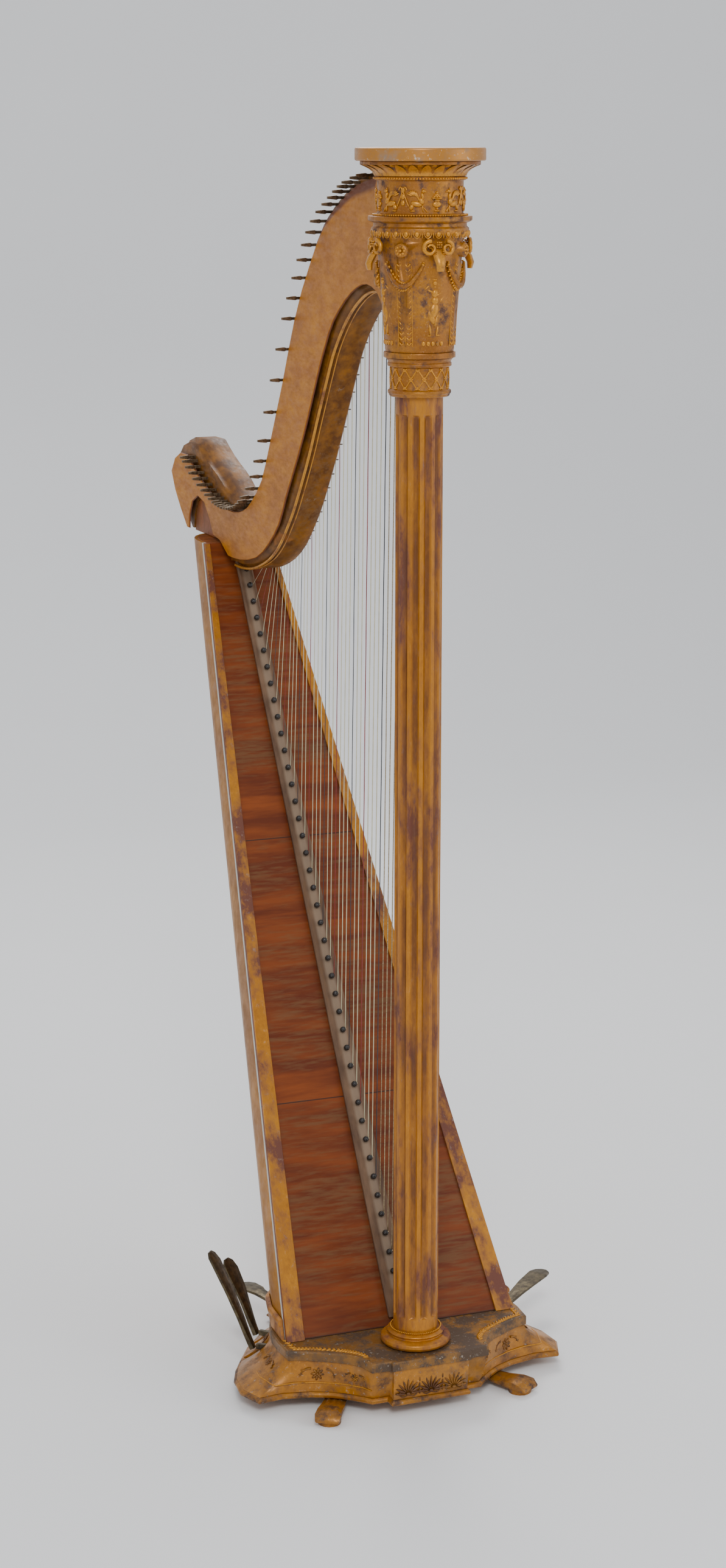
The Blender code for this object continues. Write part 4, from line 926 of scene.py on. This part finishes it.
    def horns(self):
        """Ridged scrolled horns, brows and curls on the three rams."""
        bm = bmesh.new()
        for turn in (-90, 0, 90):
            for way in (1, -1):
                line = []
                for k in range(20):
                    t = k / 19
                    a = math.radians(100 - 430 * t)
                    reach = 0.0092 * (1 - 0.62 * t)
                    line.append(around(0.0640 + 0.0022 * t, math.radians(turn) + way * (0.0118 + reach * math.cos(a))
                                       / 0.0640, 1.5765 + reach * math.sin(a)))
                tube(bm, line, [(0.0030 - 0.0018 * k / 19) * (1.0 + 0.16 * (k % 2)) for k in range(20)], 8)
                bump_on_drum(bm, 0.0668, turn + way * 4.4, 1.5700, (0.0013, 0.0010, 0.0014), rings=6, segments=8)
                bump_on_drum(bm, 0.0664, turn + way * 4.6, 1.5722, (0.0022, 0.0008, 0.0014), way * -14, 6, 8)
                bump_on_drum(bm, 0.0718, turn + way * 1.7, 1.5520, (0.0008, 0.0006, 0.0010), rings=6, segments=6)
            for i in range(9):
                bump_on_drum(bm, 0.0640 + 0.0010 * (i % 2), turn + 2.3 * (i % 3 - 1), 1.5780 + 0.0028 * (i // 3),
                             (0.0016, 0.0014, 0.0018), rings=5, segments=7)
        piece("ram_horns", bm, MATS["ornament"], angle=70.0)

    def pilaster_leaves(self):
        """Two chevron strips of leaves up each pilaster of the bell."""
        bm = bmesh.new()
        for turn in (45, 135, 225, 315):
            for strip in (-6.2, 6.2):
                for i in range(16):
                    z = 1.4560 + 0.0066 * i
                    radius = bell_radius(z) + 0.0018
                    for way in (1, -1):
                        bump_on_drum(bm, radius, turn + strip + way * 2.1, z, (0.0011, 0.0036, 0.0012), -way * 42,
                                     5, 6)
                for edge in (-5.4, 5.4):
                    line = []
                    for i in range(13):
                        z = 1.4525 + 0.0085 * i
                        radius = bell_radius(z) + 0.0018
                        line.append(around(radius, math.radians(turn + strip + edge), z))
                    tube(bm, line, 0.0006, 5)
        piece("pilaster_leaves", bm, MATS["ornament"], angle=70.0)


# carving on the base
HALF_TOP = ((0.0864, -0.0573), (0.0925, -0.0330), (0.1050, -0.0175), (0.1180, -0.0075), (0.1420, 0.0070),
            (0.1600, 0.0165), (0.1790, 0.0234), (0.1815, 0.060), (0.180, 0.090), (0.173, 0.120), (0.161, 0.150),
            (0.143, 0.180), (0.115, 0.210), (0.080, 0.237), (0.042, 0.255))
HALF_LOW = ((0.0810, -0.0440), (0.0905, -0.0330), (0.1080, -0.0170), (0.1250, -0.0045), (0.1520, 0.0080),
            (0.1900, 0.0165), (0.2255, 0.0125), (0.240, 0.050), (0.236, 0.090), (0.224, 0.120), (0.207, 0.150),
            (0.183, 0.190), (0.148, 0.232), (0.105, 0.267), (0.055, 0.290))


def between_points(points, f):
    i = min(int(f), len(points) - 2)
    return Vector(points[i]).lerp(Vector(points[i + 1]), f - i)


def skirt(f, t, side):
    """Point of the box's skirt: f runs round from the front block to the tail, t up from the board."""
    low, top = between_points(HALF_LOW, f), between_points(HALF_TOP, f)
    k = (1 - t) ** 1.7
    flat = low * k + top * (1 - k)
    centre = Vector((0.0, 0.11))
    flat = flat + (centre - flat).normalized() * (0.0040 * k + 0.0030 * (1 - k))
    return at(side * flat.x, flat.y, 0.0253 + t * (0.0692 - 0.0253))


def skirt_frame(f, t, side):
    here = skirt(f, t, side)
    along = (skirt(f + 0.05, t, side) - skirt(f - 0.05, t, side)).normalized()
    up = (skirt(f, t + 0.03, side) - skirt(f, t - 0.03, side)).normalized()
    out = along.cross(up)
    if out.dot(here - at(0, 0.11, here.z)) < 0:
        out = -out
    return here, along, up, out.normalized()


class HARP_OT_base(bpy.types.Operator):
    """Carve the palmettes, the appliques of the wings and the leaf sprays of the deck"""
    bl_idname = "harp.base"
    bl_label = "Base carving"

    def execute(self, context):
        self.palmettes()
        self.appliques()
        self.deck_sprays()
        self.edge_lines()
        return {"FINISHED"}

    def palmettes(self):
        bm = bmesh.new()
        out, up = Vector((0, -1, 0)), Vector((0, 0, 1))
        for x in (-0.034, 0.0, 0.034):
            low = at(x, -0.0582, 0.0325)
            for i in range(-4, 5):
                tilt = math.radians(-21.0 * i)
                long = 0.0105 - 0.0006 * abs(i)
                way = Vector((math.sin(-tilt), 0, math.cos(tilt)))
                lump(bm, low + way * (long + 0.003), out, up, (0.0017, long, 0.0022), tilt)
            lump(bm, low, out, up, (0.0036, 0.0028, 0.0030))
            for way in (1, -1):
                line = [low + Vector((way * a, -0.0008, b)) for a, b in
                        ((0.002, -0.002), (0.008, -0.0035), (0.0125, 0.000), (0.0115, 0.0040), (0.0085, 0.0030))]
                tube(bm, smooth_path(line, 3), 0.0010, 6)
        for x in (-0.0170, 0.0170):
            for i in range(3):
                lump(bm, at(x, -0.0582, 0.034 + 0.009 * i), out, up, (0.0014, 0.0042, 0.0018))
        piece("front_palmettes", bm, MATS["applique"], angle=70.0)

    def appliques(self):
        bm = bmesh.new()
        for side in (1, -1):
            for f, big in ((1.6, 0.8), (4.0, 1.25), (7.4, 0.9), (10.2, 1.0), (12.6, 1.0)):
                here, along, up, out = skirt_frame(f, 0.58, side)
                for i in range(8):
                    tilt = 2 * math.pi * i / 8
                    way = along * math.sin(tilt) + up * math.cos(tilt)
                    lump(bm, here + way * 0.0042 * big, out, way, (0.0016 * big, 0.0036 * big, 0.0016))
                lump(bm, here, out, up, (0.0018 * big, 0.0018 * big, 0.0026))
                for way in (1, -1):
                    line = []
                    for k in range(13):
                        t = k / 12
                        turn = t * 4.2
                        reach = 0.0065 * (1 - 0.72 * t) * big
                        step = 0.0085 * big + 0.013 * t ** 0.6 * big
                        line.append(here + along * way * (step + reach * math.sin(turn) * 0.5)
                                    + up * (reach * math.cos(turn)) + out * 0.0006)
                    tube(bm, line, [0.0013 * big * (1 - 0.5 * k / 12) for k in range(13)], 6)
                    for k in (3, 6):
                        lump(bm, line[k] + up * 0.0016, out, along * way, (0.0011, 0.0030 * big, 0.0012))
        piece("wing_appliques", bm, MATS["applique"], angle=70.0)

    def deck_sprays(self):
        bm = bmesh.new()
        centre = Vector((0.0, 0.10))
        for side in (1, -1):
            for i in range(54):
                f = 0.6 + i * 0.25
                flat = between_points(HALF_TOP, f)
                ahead = (between_points(HALF_TOP, f + 0.1) - between_points(HALF_TOP, f - 0.1)).normalized()
                inward = (centre - flat).normalized()
                place = flat + inward * 0.0125
                for way in (1, -1):
                    line = ahead + inward * way * 0.8
                    heading = Vector((side * line.x, line.y, 0)).normalized()
                    lump(bm, at(side * place.x, place.y, 0.0829) + heading * 0.003, Vector((0, 0, 1)), heading,
                         (0.0017, 0.0042, 0.0021), rings=6, segments=7)
        piece("deck_sprays", bm, MATS["ornament"], angle=70.0)

    def edge_lines(self):
        """A light raised line along the front wings, and a row of small screws in the deck's edge."""
        bm = bmesh.new()
        for side in (1, -1):
            line = [skirt(0.1 + 0.15 * i, 0.30, side) for i in range(50)]
            tube(bm, line, 0.0009, 6)
        piece("skirt_line", bm, MATS["ornament"], angle=70.0)
        bm = bmesh.new()
        for side in (1, -1):
            for f in (0.4, 2.6, 4.9, 6.6, 9.0, 11.0, 13.0):
                flat = between_points(HALF_TOP, f)
                place = flat + (Vector((0.0, 0.10)) - flat).normalized() * 0.0050
                lump(bm, at(side * place.x, place.y, 0.0829), Vector((0, 0, 1)), Vector((0, 1, 0)),
                     (0.0022, 0.0022, 0.0007), rings=6, segments=12)
        piece("deck_screws", bm, MATS["screw"], angle=50.0)


class HARP_OT_stage(bpy.types.Operator):
    """Set the pale floor, the soft lights and the camera where the photograph was taken from"""
    bl_idname = "harp.stage"
    bl_label = "Floor, lights and camera"

    def execute(self, context):
        bm = bmesh.new()
        profile = [(-9.0, 0.0), (3.0, 0.0)]
        bend = [math.pi * i / 24 for i in range(1, 13)]
        profile += [(3.0 + 1.8 * math.sin(a), 1.8 - 1.8 * math.cos(a)) for a in bend]
        profile.append((4.8, 9.0))
        verts = [bm.verts.new((-9.0, y, z)) for y, z in profile]
        edges = [bm.edges.new(pair) for pair in zip(verts, verts[1:])]
        made = bmesh.ops.extrude_edge_only(bm, edges=edges)
        bmesh.ops.translate(bm, verts=[v for v in made["geom"] if isinstance(v, bmesh.types.BMVert)], vec=(18, 0, 0))
        bmesh.ops.recalc_face_normals(bm, faces=bm.faces)
        if sum(f.normal.z for f in bm.faces) < 0:
            bmesh.ops.reverse_faces(bm, faces=bm.faces)
        mesh = bpy.data.meshes.new("floor")
        bm.to_mesh(mesh)
        bm.free()
        mesh.shade_smooth()
        floor = bpy.data.objects.new("floor", mesh)
        context.collection.objects.link(floor)
        colour = tuple(context.scene.harp.floor_colour)
        mat, tree, shader, vector = start_material("pale floor")
        spots = noise(tree, vector, 3.0, 3.0, 0.5)
        darker = tuple(c * 0.97 for c in colour)
        tree.links.new(mix_colour(tree, spots, (*colour, 1), (*darker, 1)), shader.inputs["Base Color"])
        shader.inputs["Roughness"].default_value = 0.8
        mesh.materials.append(mat)
        world = bpy.data.worlds.new("studio")
        world.use_nodes = True
        world.node_tree.nodes["Background"].inputs["Color"].default_value = (0.92, 0.94, 1.0, 1)
        world.node_tree.nodes["Background"].inputs["Strength"].default_value = 0.75
        context.scene.world = world
        target = Vector((0.0, 0.0, 0.9))
        for name, place, size, power in (("key", (-1.3, -3.8, 3.4), 1.5, 85.0), ("fill", (2.8, -2.4, 2.0), 2.4, 24.0),
                                         ("back", (0.6, 2.2, 3.4), 1.8, 55.0)):
            light = bpy.data.lights.new(name, "AREA")
            light.shape = "DISK"
            light.size = size
            light.energy = power
            lamp = bpy.data.objects.new(name, light)
            lamp.location = place
            lamp.rotation_euler = (Vector(place) - target).to_track_quat("Z", "Y").to_euler()
            context.collection.objects.link(lamp)
        turn, tip = math.radians(-20.996), math.radians(12.712)
        back = Vector((math.sin(turn) * math.cos(tip), -math.cos(turn) * math.cos(tip), math.sin(tip)))
        data = bpy.data.cameras.new("camera")
        data.lens = 67.35
        data.sensor_width = 36.0
        data.sensor_fit = "AUTO"
        camera = bpy.data.objects.new("camera", data)
        camera.location = (-1.4545, -3.9735, 1.731)
        camera.rotation_euler = back.to_track_quat("Z", "Y").to_euler()
        context.collection.objects.link(camera)
        context.scene.camera = camera
        return {"FINISHED"}


class HARP_PT_panel(bpy.types.Panel):
    """The harp's pieces, in the order in which they are made"""
    bl_idname = "HARP_PT_panel"
    bl_label = "Harp"
    bl_space_type = "VIEW_3D"
    bl_region_type = "UI"
    bl_category = "Harp"

    def draw(self, context):
        settings = context.scene.harp
        for name in ("soften", "bead_size", "leaf_count", "egg_count", "lattice_count", "floor_colour"):
            self.layout.prop(settings, name)
        for name in ("harp.stage", "harp.solids", "harp.shaft", "harp.neck_mouldings", "harp.strings",
                     "harp.capital", "harp.base"):
            self.layout.operator(name)


CLASSES = (HarpSettings, HARP_OT_solids, HARP_OT_shaft, HARP_OT_neck_mouldings, HARP_OT_strings,
           HARP_OT_capital, HARP_OT_base, HARP_OT_stage, HARP_PT_panel)


def register():
    for cls in CLASSES:
        bpy.utils.register_class(cls)
    bpy.types.Scene.harp = PointerProperty(type=HarpSettings)


def unregister():
    del bpy.types.Scene.harp
    for cls in reversed(CLASSES):
        bpy.utils.unregister_class(cls)


def main():
    register()
    bpy.ops.harp.stage()
    bpy.ops.harp.solids()
    bpy.ops.harp.shaft()
    bpy.ops.harp.neck_mouldings()
    bpy.ops.harp.strings()
    bpy.ops.harp.capital()
    bpy.ops.harp.base()


if __name__ == "__main__":
    main()
